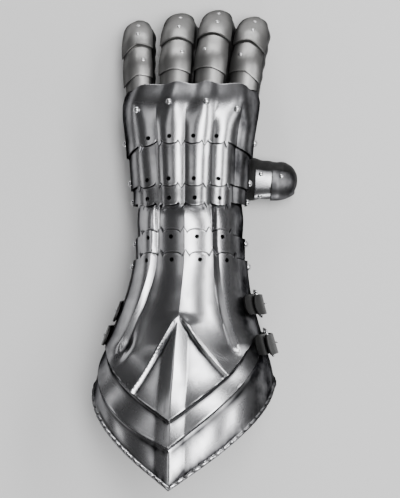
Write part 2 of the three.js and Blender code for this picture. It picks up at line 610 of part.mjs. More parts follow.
// A finger plate from `rear` to `front` along the finger. Its rear end stands over the plate behind it.
function fingerPlate(finger, plate, rear, front, stands) {
  const count = 6;
  const columns = Array.from({ length: count + 1 }, (_, i) => (i / count) * 2 - 1);
  const stops = front > 0.9 ? [0, 0.38, 0.62, 0.82, 0.95, 1] : [0, 0.38, 0.62, 1];
  const sheets = [STEEL, 0].map((thickness) => stops.map((stop) => columns.map((column) => {
    const skew = Math.max(0, finger.skew * column);
    const part = lerp(rear - plate.dip * column * column - skew, front, stop);
    const lift = lerp(stands, 0, smoothstep(stop, STAND.until, STAND.gone)) + FINGER_SEAM + thickness;
    return fingerPoint(finger, part, plate.roll + column * plate.half, lift);
  })));
  return wall(sheets[0], sheets[1]);
}

function withDomes(solid, finger, plate, places) {
  return places.reduce((sum, { part, angle, lift }) => {
    const point = fingerPoint(finger, part, angle + plate.roll, lift + FINGER_SEAM + STEEL);
    const out = fingerPoint(finger, part, angle + plate.roll, lift + 6).sub(point);
    return sum.add(dome(point, out));
  }, solid);
}

for (const finger of FINGERS) {
  const { name, middle, tip } = finger;
  const { overlap } = FINGER_PLATE;
  const pieces = {
    proximal: fingerPlate({ ...finger, skew: 0 }, { ...FINGER_PLATE, dip: 0 }, 0.035, middle + overlap, 0),
    middle: fingerPlate(finger, FINGER_PLATE, middle, tip + overlap, FINGER_STEP),
    tip: fingerPlate(finger, FINGER_PLATE, tip, 1, FINGER_STEP),
  };
  const outerSide = finger.x > 30 || (name === 'middle') ? -1 : 1;
  pieces.middle = withDomes(pieces.middle, finger, FINGER_PLATE, [
    { part: middle + 0.17, angle: 20 * outerSide, lift: FINGER_STEP * 0.5 },
  ]);
  pieces.tip = withDomes(pieces.tip, finger, FINGER_PLATE, [
    { part: tip + 0.12, angle: 4, lift: FINGER_STEP * 0.85 },
    { part: tip + 0.26, angle: 4, lift: 0 },
  ]);
  for (const [piece, solid] of Object.entries(pieces)) {
    gauntlet.add(toMesh(`${name}_${piece}_plate`, solid, SATIN_LOOK));
  }
}

const thumbBase = withDomes(
  fingerPlate(THUMB, THUMB_PLATE, THUMB.middle, THUMB.tip + THUMB_PLATE.overlap, 0),
  THUMB, THUMB_PLATE,
  [{ part: 0.5, angle: 32, lift: 0 }, { part: 0.5, angle: -32, lift: 0 }],
);
const thumbTip = withDomes(
  fingerPlate(THUMB, THUMB_PLATE, THUMB.tip, THUMB_END, FINGER_STEP),
  THUMB, THUMB_PLATE,
  [{ part: 0.76, angle: -28, lift: FINGER_STEP }],
);
gauntlet.add(toMesh('thumb_base_plate', thumbBase, STEEL_LOOK));
gauntlet.add(toMesh('thumb_tip_plate', thumbTip, STEEL_LOOK));

// ---------------------------------------------------------------- glove
// The leather under the plates: how far its outside stands off the arm's form, on the back and the palm.
const GLOVE = new SmoothTable('y', [
  { y: 44, back: -8.0, palm: -4.0 },
  { y: 52, back: -5.0, palm: -2.4 },
  { y: 62, back: -2.0, palm: -1.0 },
  { y: 76, back: 1.0, palm: 0 },
  { y: 94, back: 2.8, palm: 0.4 },
  { y: 105, back: 5.4, palm: 0.6 },
  { y: 126, back: 6.0, palm: 0.8 },
]);
const GLOVE_SIDES = 16;
const GLOVE_ROWS = [44, 54, 66, 80, 94, 106, 116, 126];
const FINGER_SIDES = 8;
const FINGER_ROWS = [0.35, 0.65, 0.84, 0.94, 0.975];
const FINGER_ROOT = -0.07;
const THUMB_ROWS = [0.3, 0.6, 0.83, 0.95, 0.985];

function gloveLift(y, angle) {
  const back = smoothstep(Math.cos(radians(angle)), -0.35, 0.35);
  return lerp(GLOVE.at(y, 'palm'), GLOVE.at(y, 'back'), back);
}

function handBody(lift, rows) {
  return loft(rows.map((y) => Array.from({ length: GLOVE_SIDES }, (_, i) => {
    const angle = 180 - ((i + 0.5) * 360) / GLOVE_SIDES;
    return armPoint(y, angle, gloveLift(y, angle) + lift);
  })));
}

function fingerBody(finger, lift, root, rows) {
  return loft([root, ...rows].map((part) => Array.from({ length: FINGER_SIDES }, (_, i) => {
    return fingerPoint(finger, part, 180 - ((i + 0.5) * 360) / FINGER_SIDES, lift);
  })));
}

const lastRow = GLOVE_ROWS.length - 1;
const wristOpen = GLOVE_ROWS.map((y, i) => (i === 0 ? y - 1 : i === lastRow ? y - LEATHER : y));
let gloveHand = handBody(0, GLOVE_ROWS).subtract(handBody(-LEATHER, wristOpen));
const clearOfHand = handBody(GAP, GLOVE_ROWS.map((y, i) => (i === lastRow ? y + GAP : y)));
const digits = [...FINGERS.map((finger) => [finger, FINGER_ROOT, FINGER_ROWS]), [THUMB, 0, THUMB_ROWS]];
for (const [finger, root, rows] of digits) {
  const hollow = fingerBody(finger, -LEATHER, root - 0.06, rows);
  const tube = fingerBody(finger, 0, root, rows).subtract(hollow).subtract(clearOfHand);
  const pieces = tube.decompose().sort((a, b) => b.volume() - a.volume());
  gauntlet.add(toMesh(`glove_${finger.name}`, pieces[0], LEATHER_LOOK));
  gloveHand = gloveHand.subtract(hollow);
}
for (const { bore } of KNUCKLE_RIVETS) gloveHand = gloveHand.subtract(bore);
gauntlet.add(toMesh('glove_hand', gloveHand, LEATHER_LOOK));

// ---------------------------------------------------------------- straps under the cuff
// Each strap is riveted outside the cuff on the little-finger side, crosses underneath and ends in a
// buckle on a short tab on the thumb side. littleY and thumbY: its place along the cuff at each side.
const STRAPS = [
  { name: 'front', littleY: -44, thumbY: -38 },
  { name: 'rear', littleY: -62, thumbY: -68 },
];
const STRAP_REST = 1.0; // free space between a strap and the cuff
// place: how far the strap has gone from littleY to thumbY; chord: part of the straight run underneath.
const STRAP_ROUTE = [
  { angle: -71, lift: 0, place: 0 }, { angle: -80, lift: 0, place: 0.025 },
  { angle: -89, lift: 0, place: 0.05 }, { angle: -104, lift: 0, place: 0.1 },
  { angle: -118, lift: 0, place: 0.16 }, { angle: -133, lift: 0, place: 0.22 },
  { chord: 0.14, place: 0.3 }, { chord: 0.5, place: 0.5 }, { chord: 0.86, place: 0.7 },
  { angle: 133, lift: 0, place: 0.78 }, { angle: 119, lift: 0, place: 0.84 },
  { angle: 111, lift: 0, place: 0.94 }, { angle: 103, lift: 0, place: 1 },
  { angle: 91, lift: 5.6, place: 1 }, { angle: 79, lift: 5.6, place: 1 },
  { angle: 67, lift: 3.2, place: 1 },
];
const TAB_ROUTE = [55, 62, 70, 79, 88].map((angle) => ({ angle, lift: 0, place: 1 }));
const STRAP_EDGE = 133; // the angle at which a strap leaves the cuff
const STRAP_SAG = 1.2;
// A flat frame; upper and lower: where its end bars lie on the cuff.
const BUCKLE = {
  rod: 1.9, overhang: 2.4, upper: 84, lower: 106, lift: 3.4, tongueAngle: 91, tongueLift: 8.9, tongue: 1.5,
};

// A point outside the cuff, clear of all that stands up across the width of a strap centred at `middle`.
function onCuff(y, angle, lift, middle = y) {
  const { cuff } = lamesByName;
  const places = [-0.55, -0.3, 0, 0.3, 0.55].map((part) => middle + part * STRAP.width);
  const lifts = places.flatMap((place) => [-5, 0, 5].map((turn) => lameLift(cuff, place, angle + turn)));
  const highest = Math.max(...lifts);
  return armPoint(y, angle, highest + STEEL + STRAP_REST + lift);
}

function strapPoint(strap, stop, lift, across) {
  const middle = lerp(strap.littleY, strap.thumbY, stop.place);
  const y = middle + across;
  if (stop.chord === undefined) return onCuff(y, stop.angle, stop.lift + lift, middle);
  const [from, to] = [-STRAP_EDGE, STRAP_EDGE].map((angle) => onCuff(y, angle, lift, middle));
  const sag = STRAP_SAG * Math.sin(Math.PI * stop.chord);
  return vector(lerp(from.x, to.x, stop.chord), y, lerp(from.z, to.z, stop.chord) - sag);
}

// The middle of a strap's outer face.
function strapTop(strap, stop) {
  const [rear, front] = [-0.5, 0.5].map((side) => strapPoint(strap, stop, STRAP.thick, side * STRAP.width));
  return rear.lerp(front, 0.5);
}

function ribbon(strap, route) {
  const sides = [-STRAP.width / 2, STRAP.width / 2];
  const sheets = [STRAP.thick, 0].map((lift) => {
    return route.map((stop) => sides.map((across) => strapPoint(strap, stop, lift, across)));
  });
  return wall(sheets[0], sheets[1]);
}

// A bar of square section between two points, its faces turned to `out`.
function bar(from, to, width, out) {
  const run = to.clone().sub(from);
  const box = new THREE.BoxGeometry(width, width, run.length() + width);
  const ahead = run.clone().normalize();
  const across = out.clone().cross(ahead).normalize();
  const frame = new THREE.Matrix4().makeBasis(across, ahead.clone().cross(across), ahead);
  const middle = from.clone().add(to).multiplyScalar(0.5);
  return toSolid(box.applyMatrix4(frame).translate(middle.x, middle.y, middle.z));
}

function buckle(strap) {
  const reach = STRAP.width / 2 + BUCKLE.overhang;
  const place = (side, angle, lift) => onCuff(strap.thumbY + side * reach, angle, lift, strap.thumbY);
  const [upperRear, upperFront] = [-1, 1].map((side) => place(side, BUCKLE.upper, BUCKLE.lift));
  const [lowerRear, lowerFront] = [-1, 1].map((side) => place(side, BUCKLE.lower, BUCKLE.lift));
  const out = upperFront.clone().sub(upperRear).cross(upperRear.clone().sub(lowerRear)).normalize();
  const bars = [
    bar(upperRear, upperFront, BUCKLE.rod, out),
    bar(lowerRear, lowerFront, BUCKLE.rod, out),
    bar(upperRear, lowerRear, BUCKLE.rod, out),
    bar(upperFront, lowerFront, BUCKLE.rod, out),
  ];
  const tongueEnd = place(0, BUCKLE.tongueAngle, BUCKLE.tongueLift);
  const tongue = bar(place(0, BUCKLE.lower, BUCKLE.lift), tongueEnd, BUCKLE.tongue, vector(0, 1, 0));
  return bars.reduce((sum, side) => sum.add(side), tongue);
}

for (const strap of STRAPS) {
  const anchor = strapTop(strap, { angle: -80, lift: 0, place: 0.025 });
  const tabPin = strapTop(strap, { angle: 62, lift: 0, place: 1 });
  const belt = ribbon(strap, STRAP_ROUTE).add(dome(anchor, armNormal(strap.littleY, -80)));
  const tab = ribbon(strap, TAB_ROUTE).add(dome(tabPin, armNormal(strap.thumbY, 62)));
  gauntlet.add(toMesh(`strap_${strap.name}`, belt, LEATHER_LOOK));
  gauntlet.add(toMesh(`tab_${strap.name}`, tab, LEATHER_LOOK));
  gauntlet.add(toMesh(`buckle_${strap.name}`, buckle(strap), RIVET_LOOK));
}

// The whole stands on its lowest points, centred over the origin.
const bounds = new THREE.Box3().setFromObject(gauntlet);
const middle = bounds.getCenter(vector(0, 0, 0));
gauntlet.position.set(-middle.x, -middle.y, -bounds.min.z);
gauntlet.updateMatrixWorld(true);

export default gauntlet;
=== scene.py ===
"""Armoured gauntlet: polished steel plates over a black leather glove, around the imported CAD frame.

Lengths inside the form tables are millimetres; meshes are built in metres in the frame's axes:
+Y towards the fingertips, +X towards the thumb, +Z out of the back of the hand.
"""

import logging
import math
from dataclasses import dataclass, replace
from enum import Enum
from typing import Callable, Sequence

import bpy
import numpy as np
from mathutils import Matrix, Vector

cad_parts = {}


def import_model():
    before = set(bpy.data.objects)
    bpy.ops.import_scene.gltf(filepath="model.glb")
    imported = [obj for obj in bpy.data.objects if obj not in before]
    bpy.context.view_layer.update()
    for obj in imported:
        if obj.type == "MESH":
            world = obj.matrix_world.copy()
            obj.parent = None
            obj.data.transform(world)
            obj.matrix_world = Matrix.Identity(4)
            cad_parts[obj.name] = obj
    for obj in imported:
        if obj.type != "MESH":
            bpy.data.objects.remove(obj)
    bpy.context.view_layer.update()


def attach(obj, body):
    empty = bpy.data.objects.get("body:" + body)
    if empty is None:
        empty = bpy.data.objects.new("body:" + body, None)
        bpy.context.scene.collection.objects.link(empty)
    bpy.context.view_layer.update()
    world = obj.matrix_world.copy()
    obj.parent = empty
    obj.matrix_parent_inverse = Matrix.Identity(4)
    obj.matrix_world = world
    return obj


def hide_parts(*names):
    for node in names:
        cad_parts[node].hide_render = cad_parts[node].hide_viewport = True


LOG = logging.getLogger("gauntlet")
Array = np.ndarray
Solid = bpy.types.Object
Triple = tuple[float, float, float]  # a place, a scale or a colour
Seat = tuple[Array, Array]  # where something sits, and the direction out of it

MM = 0.001
ORIGIN = np.array([-4.095, -12.642, 0.130])  # from the tables' origin to the frame's, mm
STEEL = 1.2
LEATHER = 1.6
STRAP_THICK, STRAP_WIDTH = 1.6, 15.0
RIVET_GAP = 0.6  # between a plate and its rivet's head
FINGER_SEAM = 0.7  # between a finger's leather and its plate
FINGER_STEP = STEEL + FINGER_SEAM
UP = np.array([0.0, 0.0, 1.0])


class Body(Enum):
    """The rigid bodies of the frame."""

    HAND = "hand"
    HAND_LAME_FRONT = "hand_lame_front"
    HAND_LAME_BACK = "hand_lame_back"
    WRIST_LAME_FRONT = "wrist_lame_front"
    WRIST_LAME_BACK = "wrist_lame_back"
    CUFF = "cuff"


# ---- curves
def lerp(a: Array, b: Array, share: Array) -> Array:
    """Args: two values and the share of the second. Returns: the mix."""
    return a + (b - a) * share


def smoothstep(value: Array, start: Array, end: Array) -> Array:
    """Args: value, and where the step starts and ends. Returns: 0 to 1, eased at both ends."""
    t = np.clip((np.asarray(value, float) - start) / (end - start), 0.0, 1.0)
    return t * t * (3 - 2 * t)


def normalized(vectors: Array) -> Array:
    """Args: vectors along the last axis. Returns: the same directions with length one."""
    return vectors / np.linalg.norm(vectors, axis=-1, keepdims=True)


def spread(*items: Array) -> list[Array]:
    """Args: numbers or arrays. Returns: arrays of one shape."""
    return np.broadcast_arrays(*(np.asarray(item, float) for item in items))


def sine_cosine(angle: Array) -> tuple[Array, Array]:
    """Args: angles in degrees. Returns: their sines and cosines."""
    return np.sin(np.radians(angle)), np.cos(np.radians(angle))


class SmoothTable:
    """A table with named columns, each read as a smooth curve through its rows."""

    def __init__(self, columns: Sequence[str], rows: Sequence[Sequence[float]]) -> None:
        """Args: column names, the first being the place, and the rows at rising places."""
        data = np.array(rows, float)
        self.places = data[:, 0]
        self.columns = {name: data[:, i] for i, name in enumerate(columns) if i}
        before = np.maximum(np.arange(len(data)) - 1, 0)
        after = np.minimum(np.arange(len(data)) + 1, len(data) - 1)
        run = self.places[after] - self.places[before]
        self.slopes = {name: (values[after] - values[before]) / run for name, values in self.columns.items()}

    def at(self, place: Array, column: str) -> Array:
        """Args: places and a column's name. Returns: the curve's values there."""
        x = np.clip(np.asarray(place, float), self.places[0], self.places[-1])
        i = np.clip(np.searchsorted(self.places, x, side="left") - 1, 0, len(self.places) - 2)
        span = self.places[i + 1] - self.places[i]
        t = (x - self.places[i]) / span
        values, slopes = self.columns[column], self.slopes[column]
        base = lerp(values[i], values[i + 1], t * t * (3 - 2 * t))
        rise = slopes[i] * span * t * (1 - t) ** 2
        fall = slopes[i + 1] * span * t * t * (1 - t)
        return base + rise - fall


# ---- the arm's form
ARM = SmoothTable(
    ("y", "centre", "half", "axis", "rise", "drop", "ridge", "flute"),
    [
        (-175, -4.5, 66.5, 47.0, 54.0, 62.0, -5.0, 50),
        (-140, -4.5, 66.5, 46.5, 49.0, 62.0, -5.0, 50),
        (-109, -4.0, 66.0, 45.5, 46.5, 61.0, -5.0, 50),
        (-88, -3.3, 62.5, 44.0, 44.0, 59.0, -4.5, 49),
        (-70, -2.8, 56.8, 42.5, 41.0, 51.0, -4.5, 47),
        (-51, -2.2, 50.5, 41.0, 37.0, 44.5, -4.0, 43),
        (-30, -1.2, 44.0, 39.5, 32.5, 38.5, -3.5, 39),
        (-8, 0.0, 40.2, 38.0, 28.8, 33.0, -3.0, 36),
        (10, 0.0, 40.0, 37.5, 28.5, 30.0, -3.0, 35),
        (28, 0.0, 40.4, 37.0, 28.6, 28.0, -3.0, 35),
        (42, -0.3, 39.6, 36.5, 25.5, 27.0, -3.0, 35),
        (56, -0.5, 39.8, 36.0, 22.5, 26.0, -2.0, 35),
        (88, -0.7, 42.2, 34.5, 19.5, 24.0, -1.0, 35),
        (116, 0.3, 45.5, 34.0, 18.5, 23.0, -1.0, 35),
        (134, 2.8, 43.0, 33.5, 11.0, 22.0, -1.0, 35),
    ],
)


def arm_point(y: Array, angle: Array, lift: Array) -> Array:
    """Args: place along the arm, angle from the top, height off the form. Returns: points."""
    y, angle, lift = spread(y, angle, lift)
    half = ARM.at(y, "half")
    sine, cosine = sine_cosine(angle)
    height = np.where(cosine >= 0, ARM.at(y, "rise"), ARM.at(y, "drop"))
    out_x, out_z = sine * height, cosine * half
    length = np.hypot(out_x, out_z)
    x = ARM.at(y, "centre") + half * sine + lift * out_x / length
    z = ARM.at(y, "axis") + height * cosine + lift * out_z / length
    return np.stack([x, y, z], axis=-1)


def arm_normal(y: float, angle: float) -> Array:
    """Args: a place and angle. Returns: the direction out of the arm's form there."""
    return normalized(arm_point(y, angle, 1.0) - arm_point(y, angle, 0.0))


# ---- relief hammered into the plates
VALLEYS = (-76.0, -30.0, -2.0, 25.0, 53.0, 82.0)
KNUCKLE_VALLEYS = (-80.0, -29.0, 1.0, 29.0, 76.0)
LOBE, KNUCKLE = 2.2, 2.4
KNUCKLED = (96.0, 120.0)  # where the hand plate's lobes turn into knuckles
LOBED = (36.0, 43.0)  # where the front wrist lame's ridges turn into lobes


@dataclass(frozen=True)
class RidgeSizes:
    """The ridged section: a medial ridge and a flute with a riser on each side."""

    height: float = 1.9
    valley: float = -1.3
    crest: float = 2.1
    riser: float = 5.0
    fade: float = 38.0
    shoulder: float = 62.0
    shoulder_width: float = 12.0
    shoulder_height: float = 0.7


@dataclass(frozen=True)
class Chevron:
    """A line round the cuff: y on the ridge, then how fast it runs forward per degree."""

    tip: float
    left: float
    left_curve: float
    right: float
    height: float
    reach: float


@dataclass(frozen=True)
class RimSizes:
    """The cuff's turned and roped rim."""

    tip: float = -172.0
    slope: float = 0.82
    bend: float = 84.0
    under: float = 0.25
    bead: float = 1.7
    width: float = 4.2
    rope_pitch: float = 7.0
    rope_depth: float = 0.85
    rope_slant: float = 2.6
    rope_notch: float = 0.75
    rope_end: float = 0.98


@dataclass(frozen=True)
class KiteSizes:
    """The kite in the middle of the cuff, and its keel."""

    apex: float = -42.0
    left: float = 24.7
    left_y: float = -100.0
    right: float = 34.0
    right_y: float = -88.0
    height: float = 2.3
    reach: float = 20.0
    keel: float = 2.3
    keel_width: float = 9.0
    start: float = 10.0
    blend_from: float = -0.9
    blend_to: float = 3.5


RIDGE, RIM, KITE = RidgeSizes(), RimSizes(), KiteSizes()
CHEVRONS = (
    Chevron(-121.0, 0.75, 0.0, 0.92, 2.6, 17.0),
    Chevron(-140.5, 0.42, 0.005, 0.98, 2.6, 15.0),
)
CHEVRON_RISER, CHEVRON_END, CHEVRON_FADE = 2.4, 85.0, (64.0, 86.0)
FLARE_Y = -110.0
DEGREE = 1.15  # mm per degree round the cuff
FLUTE_END = (-76.0, -66.0)
HOLLOW_Y, HOLLOW_DEPTH, HOLLOW_ANGLE, HOLLOW_LENGTH = -70.0, 2.2, 5.0, 9.0


def between(valleys: Sequence[float], angle: Array) -> tuple[Array, Array]:
    """Args: valley angles and angles. Returns: -1 to 1 between two valleys, and where that holds."""
    edges = np.array(valleys)
    i = np.clip(np.searchsorted(edges, angle, side="right") - 1, 0, len(edges) - 2)
    u = 2 * (angle - edges[i]) / (edges[i + 1] - edges[i]) - 1
    return u, (angle >= edges[0]) & (angle <= edges[-1])


def lobes(y: Array, angle: Array) -> Array:
    """Args: places, which are not used, and angles. Returns: the relief of the lobed hand and wrist."""
    u, inside = between(VALLEYS, angle)
    return np.where(inside, LOBE * (1 - u * u), 0.0)


def knuckles(angle: Array) -> Array:
    """Args: angles. Returns: the relief of the broad knuckles."""
    u, inside = between(KNUCKLE_VALLEYS, angle)
    return np.where(inside, KNUCKLE * (1 + np.cos(np.pi * u)) / 2, 0.0)


def ridged(y: Array, angle: Array) -> Array:
    """Args: places and angles. Returns: the relief of the ridged section."""
    off = np.abs(off_ridge(y, angle))
    flute = ARM.at(y, "flute")
    foot = flute - RIDGE.riser
    inner = lerp(RIDGE.height, RIDGE.valley, off / foot)
    riser = lerp(RIDGE.valley, RIDGE.crest, (off - foot) / RIDGE.riser)
    fall = np.maximum(0.0, 1 - np.abs(off - RIDGE.shoulder) / RIDGE.shoulder_width)
    outer = RIDGE.crest * (1 - smoothstep(off, flute, flute + RIDGE.fade)) + RIDGE.shoulder_height * fall
    return np.where(off < foot, inner, np.where(off < flute, riser, outer))


def off_ridge(y: Array, angle: Array) -> Array:
    """Args: places and angles. Returns: angles from the medial ridge."""
    return angle - ARM.at(y, "ridge")


def chevron_y(line: Chevron, off: Array) -> Array:
    """Args: a chevron and angles off the ridge. Returns: its y there."""
    turn = np.minimum(np.abs(off), CHEVRON_END)
    left = line.left * turn + line.left_curve * turn * turn
    return line.tip + np.where(off < 0, left, line.right * turn)


def rim_y(off: Array) -> Array:
    """Args: angles off the ridge. Returns: y of the cuff's rim."""
    turn = np.abs(off)
    return RIM.tip + RIM.slope * np.minimum(turn, RIM.bend) + RIM.under * np.maximum(0, turn - RIM.bend)


def crest(line: Chevron, behind: Array) -> Array:
    """Args: a chevron and distances behind it. Returns: relief scooped up to the line."""
    before = np.maximum(0.0, 1 + behind / line.reach) ** 2
    return line.height * np.where(behind <= 0, before, np.maximum(0.0, 1 - behind / CHEVRON_RISER))


def outside_kite(off: Array, y: Array) -> Array:
    """Args: angles off the ridge and places. Returns: distance outside the kite's upper edges."""
    corner = np.where(off < 0, KITE.left, KITE.right)
    corner_y = np.where(off < 0, KITE.left_y, KITE.right_y)
    run, fall = corner * DEGREE, KITE.apex - corner_y
    return (fall * np.abs(off) * DEGREE - run * (KITE.apex - y)) / np.hypot(run, fall)


def cuff_relief(y: Array, angle: Array) -> Array:
    """Args: places and angles. Returns: all that is hammered into the cuff."""
    off = off_ridge(y, angle)
    run = math.cos(math.atan(CHEVRONS[0].right / DEGREE))
    behind = [(chevron_y(line, off) - y) * run for line in CHEVRONS]
    sides = 1 - smoothstep(np.abs(off), *CHEVRON_FADE)
    relief = ridged(y, angle) * smoothstep(y, *FLUTE_END)
    along = (y - HOLLOW_Y) / HOLLOW_LENGTH
    across = (off + ARM.at(y, "flute") - RIDGE.riser) / HOLLOW_ANGLE
    relief = relief - HOLLOW_DEPTH * np.exp(-(along**2) - across**2)
    outside = outside_kite(off, y)
    keel = KITE.keel * np.maximum(0.0, 1 - np.abs(off) / KITE.keel_width)
    start = smoothstep(KITE.apex - y, 0, KITE.start)
    within = np.where(behind[0] > 0, 1.0, smoothstep(-outside, KITE.blend_from, KITE.blend_to))
    slope = KITE.height * start * np.maximum(0, 1 - np.maximum(outside, 0) / KITE.reach) ** 2
    relief = np.where(y < KITE.apex, lerp(relief + slope, keel, within), relief)
    for line, back in zip(CHEVRONS, behind):
        relief = relief + sides * crest(line, back)
    return relief


def knuckled(y: Array, angle: Array) -> Array:
    """Args: places and angles. Returns: the hand plate's relief, lobes turning into knuckles."""
    return lerp(lobes(y, angle), knuckles(angle), smoothstep(y, *KNUCKLED))


def tucked(y: Array, angle: Array) -> Array:
    """Args: places and angles. Returns: the ridged relief, its flutes spread a little below the cuff."""
    off = off_ridge(y, angle)
    spread = TUCK_SPREAD * smoothstep(-y, *TUCK) * np.clip(np.abs(off) / WRIST_FLUTE, 0.0, 1.0)
    return ridged(y, angle - np.sign(off) * spread)


def between_forms(y: Array, angle: Array) -> Array:
    """Args: places and angles. Returns: the front wrist lame's relief, ridged turning into lobed."""
    return lerp(tucked(y, angle), lobes(y, angle), smoothstep(y, *LOBED))


# ---- the plates' outlines
class Edge(Enum):
    """An edge of a plate; the value is the way it faces along the arm."""

    FRONT = 1
    REAR = -1
    NONE = 0


@dataclass(frozen=True)
class Lame:
    """One steel plate of the hand, wrist or cuff. Angles in degrees from the top, lengths in mm."""

    body: Body
    form: Callable[[Array, Array], Array]
    level: float
    front: float
    rear: float
    bow_front: float
    bow_rear: float
    scalloped: Edge
    hole: float
    pitch: float
    little: float
    thumb: float
    sink_front: float
    sink_rear: float

    @property
    def node(self) -> str:
        """Returns: the name of the plate's CAD node."""
        return "hand_plate" if self.body is Body.HAND else self.body.value


SCALLOP_LOBE, SCALLOP_TOOTH, SCALLOP_NOTCH, SCALLOP_COUNT = 3.0, 4.5, 0.72, 4
SCALLOP_STOPS = (-1.0, -0.96, -0.88, 0.88, 0.96, 1.0)  # where a lobe's round edge gets a column
HOLE_INSET, HOLE_RADIUS, DRILL = 2.4, 1.7, 8.0
FRONT_ARC = 2.2
BOW = (28.0, 86.0)
SIDE_RISE, SIDE_RISE_ANGLE, SIDE_RISE_KEEP = (106.0, 132.0), 60.0, 0.35
WRIST_RIDGE, WRIST_FLUTE = -3.0, 36.0
TUCK, TUCK_SPREAD = (-6.0, 0.0), 1.2
SLOPE_STEP = 1.5  # how far to each side a plate's slope is measured

HAND_PLATE = Lame(Body.HAND, knuckled, 7.4, 132, 88.6, 5, 13, Edge.REAR, -39, 22.5, -112, 104, 0, 0)
HAND_LAME_FRONT = Lame(Body.HAND_LAME_FRONT, lobes, 5.6, 95, 56, 0, 6, Edge.REAR, -43, 25, -112, 103, 0.7, 0)
HAND_LAME_BACK = Lame(Body.HAND_LAME_BACK, lobes, 3.8, 64, 41.2, 0, 3, Edge.REAR, -44, 26, -112, 103, 0.7, 0)
WRIST_LAME_FRONT = Lame(
    Body.WRIST_LAME_FRONT, between_forms, 0, 48, 2, 0, 0, Edge.NONE, -44, 27, -114, 103, 0.6, 0.6
)
WRIST_LAME_BACK = Lame(
    Body.WRIST_LAME_BACK, tucked, 1.8, 16.5, -16, 4, 0, Edge.FRONT, -44, 27, -124, 124, 0, 1.7
)
CUFF = Lame(Body.CUFF, cuff_relief, 3.6, -1, RIM.tip, 3.5, 0, Edge.FRONT, -44, 28.5, -132, 132, 0, 0)
LAMES = (HAND_PLATE, HAND_LAME_FRONT, HAND_LAME_BACK, WRIST_LAME_FRONT, WRIST_LAME_BACK, CUFF)
# Which plate lies over which: the lower one, then the one whose scallops lie over it.
OVERLAPS = (
    (HAND_LAME_FRONT, HAND_PLATE),
    (HAND_LAME_BACK, HAND_LAME_FRONT),
    (WRIST_LAME_FRONT, HAND_LAME_BACK),
    (WRIST_LAME_FRONT, WRIST_LAME_BACK),
    (WRIST_LAME_BACK, CUFF),
)


SCALLOP_LAST, SCALLOP_MARGIN = 0.001, 0.01  # in scallops: inside the last end, outside both


def scallop(lame: Lame, angle: Array) -> Array:
    """Args: a plate and angles. Returns: how far its cut edge reaches past the notches' line."""
    place = (angle - lame.hole) / lame.pitch + 0.5
    u = np.abs((place - np.floor(np.clip(place, 0, SCALLOP_COUNT - SCALLOP_LAST))) * 2 - 1)
    lobe = SCALLOP_LOBE * np.sqrt(np.maximum(0, 1 - (u / SCALLOP_NOTCH) ** 2))
    tooth = SCALLOP_TOOTH * (u - SCALLOP_NOTCH) / (1 - SCALLOP_NOTCH)
    inside = (place > -SCALLOP_MARGIN) & (place < SCALLOP_COUNT + SCALLOP_MARGIN)
    return np.where(inside, np.where(u < SCALLOP_NOTCH, lobe, tooth), 0.0)


def edge_y(lame: Lame, which: Edge, angle: Array, cut: bool = True) -> Array:
    """Args: a plate, an edge, angles, whether scallops count. Returns: the edge's y."""
    if lame is CUFF and which is Edge.REAR:
        return rim_y(off_ridge(FLARE_Y, angle))
    line, bow = (lame.front, lame.bow_front) if which is Edge.FRONT else (lame.rear, lame.bow_rear)
    y = line - bow * smoothstep(np.abs(angle), *BOW)
    if cut and lame.scalloped is which:
        y = y + which.value * scallop(lame, angle)
    if lame is HAND_PLATE and which is Edge.FRONT:
        y = y + FRONT_ARC * knuckles(angle) / KNUCKLE
    return y


def holes(lame: Lame) -> list[tuple[float, float]]:
    """Args: a plate. Returns: y and angle of the hole in each of its scallops."""
    way = lame.scalloped
    turns = [lame.hole + i * lame.pitch for i in range(SCALLOP_COUNT * abs(way.value))]
    lines = [float(edge_y(lame, way, np.array(turn), cut=False)) for turn in turns]
    return [(line - way.value * HOLE_INSET, turn) for line, turn in zip(lines, turns)]


def lame_lift(lame: Lame, y: Array, angle: Array) -> Array:
    """Args: a plate, places and angles. Returns: its inner face's height over the arm's form."""
    front, rear = edge_y(lame, Edge.FRONT, angle), edge_y(lame, Edge.REAR, angle)
    middle = lerp(rear, front, 0.5)
    to_front, to_rear = smoothstep(y, middle, front), 1 - smoothstep(y, rear, middle)
    return lame.level + lame.form(y, angle) - lame.sink_front * to_front - lame.sink_rear * to_rear


def sheet_angle(lame: Lame, y: Array, column: Array) -> Array:
    """Args: a plate, places and column angles. Returns: the angle that each column has reached."""
    if lame is HAND_PLATE:
        keep = lerp(1, SIDE_RISE_KEEP, smoothstep(y, *SIDE_RISE))
        drawn = np.sign(column) * (SIDE_RISE_ANGLE + (np.abs(column) - SIDE_RISE_ANGLE) * keep)
        return np.where(np.abs(column) > SIDE_RISE_ANGLE, drawn, column)
    if lame is not CUFF:
        return column + 0 * y
    off = column - WRIST_RIDGE
    ridge, flute = ARM.at(y, "ridge"), ARM.at(y, "flute")
    edge = np.where(off < 0, lame.little, lame.thumb)
    share = (np.abs(off) - WRIST_FLUTE) / (np.abs(edge - WRIST_RIDGE) - WRIST_FLUTE)
    outer = lerp(ridge + np.sign(off) * flute, edge, share)
    return np.where(np.abs(off) < WRIST_FLUTE, ridge + off * flute / WRIST_FLUTE, outer)


def lame_top(lame: Lame, y: float, angle: float) -> Seat:
    """Args: a plate and a place. Returns: a point of its outside and the direction square to it."""

    def at(ahead: float, turn: float) -> Array:
        lift = lame_lift(lame, np.array(y + ahead), np.array(angle + turn)) + STEEL
        return arm_point(y + ahead, angle + turn, lift)

    along, round_ = at(SLOPE_STEP, 0) - at(-SLOPE_STEP, 0), at(0, SLOPE_STEP) - at(0, -SLOPE_STEP)
    return at(0, 0), -normalized(np.cross(along, round_))


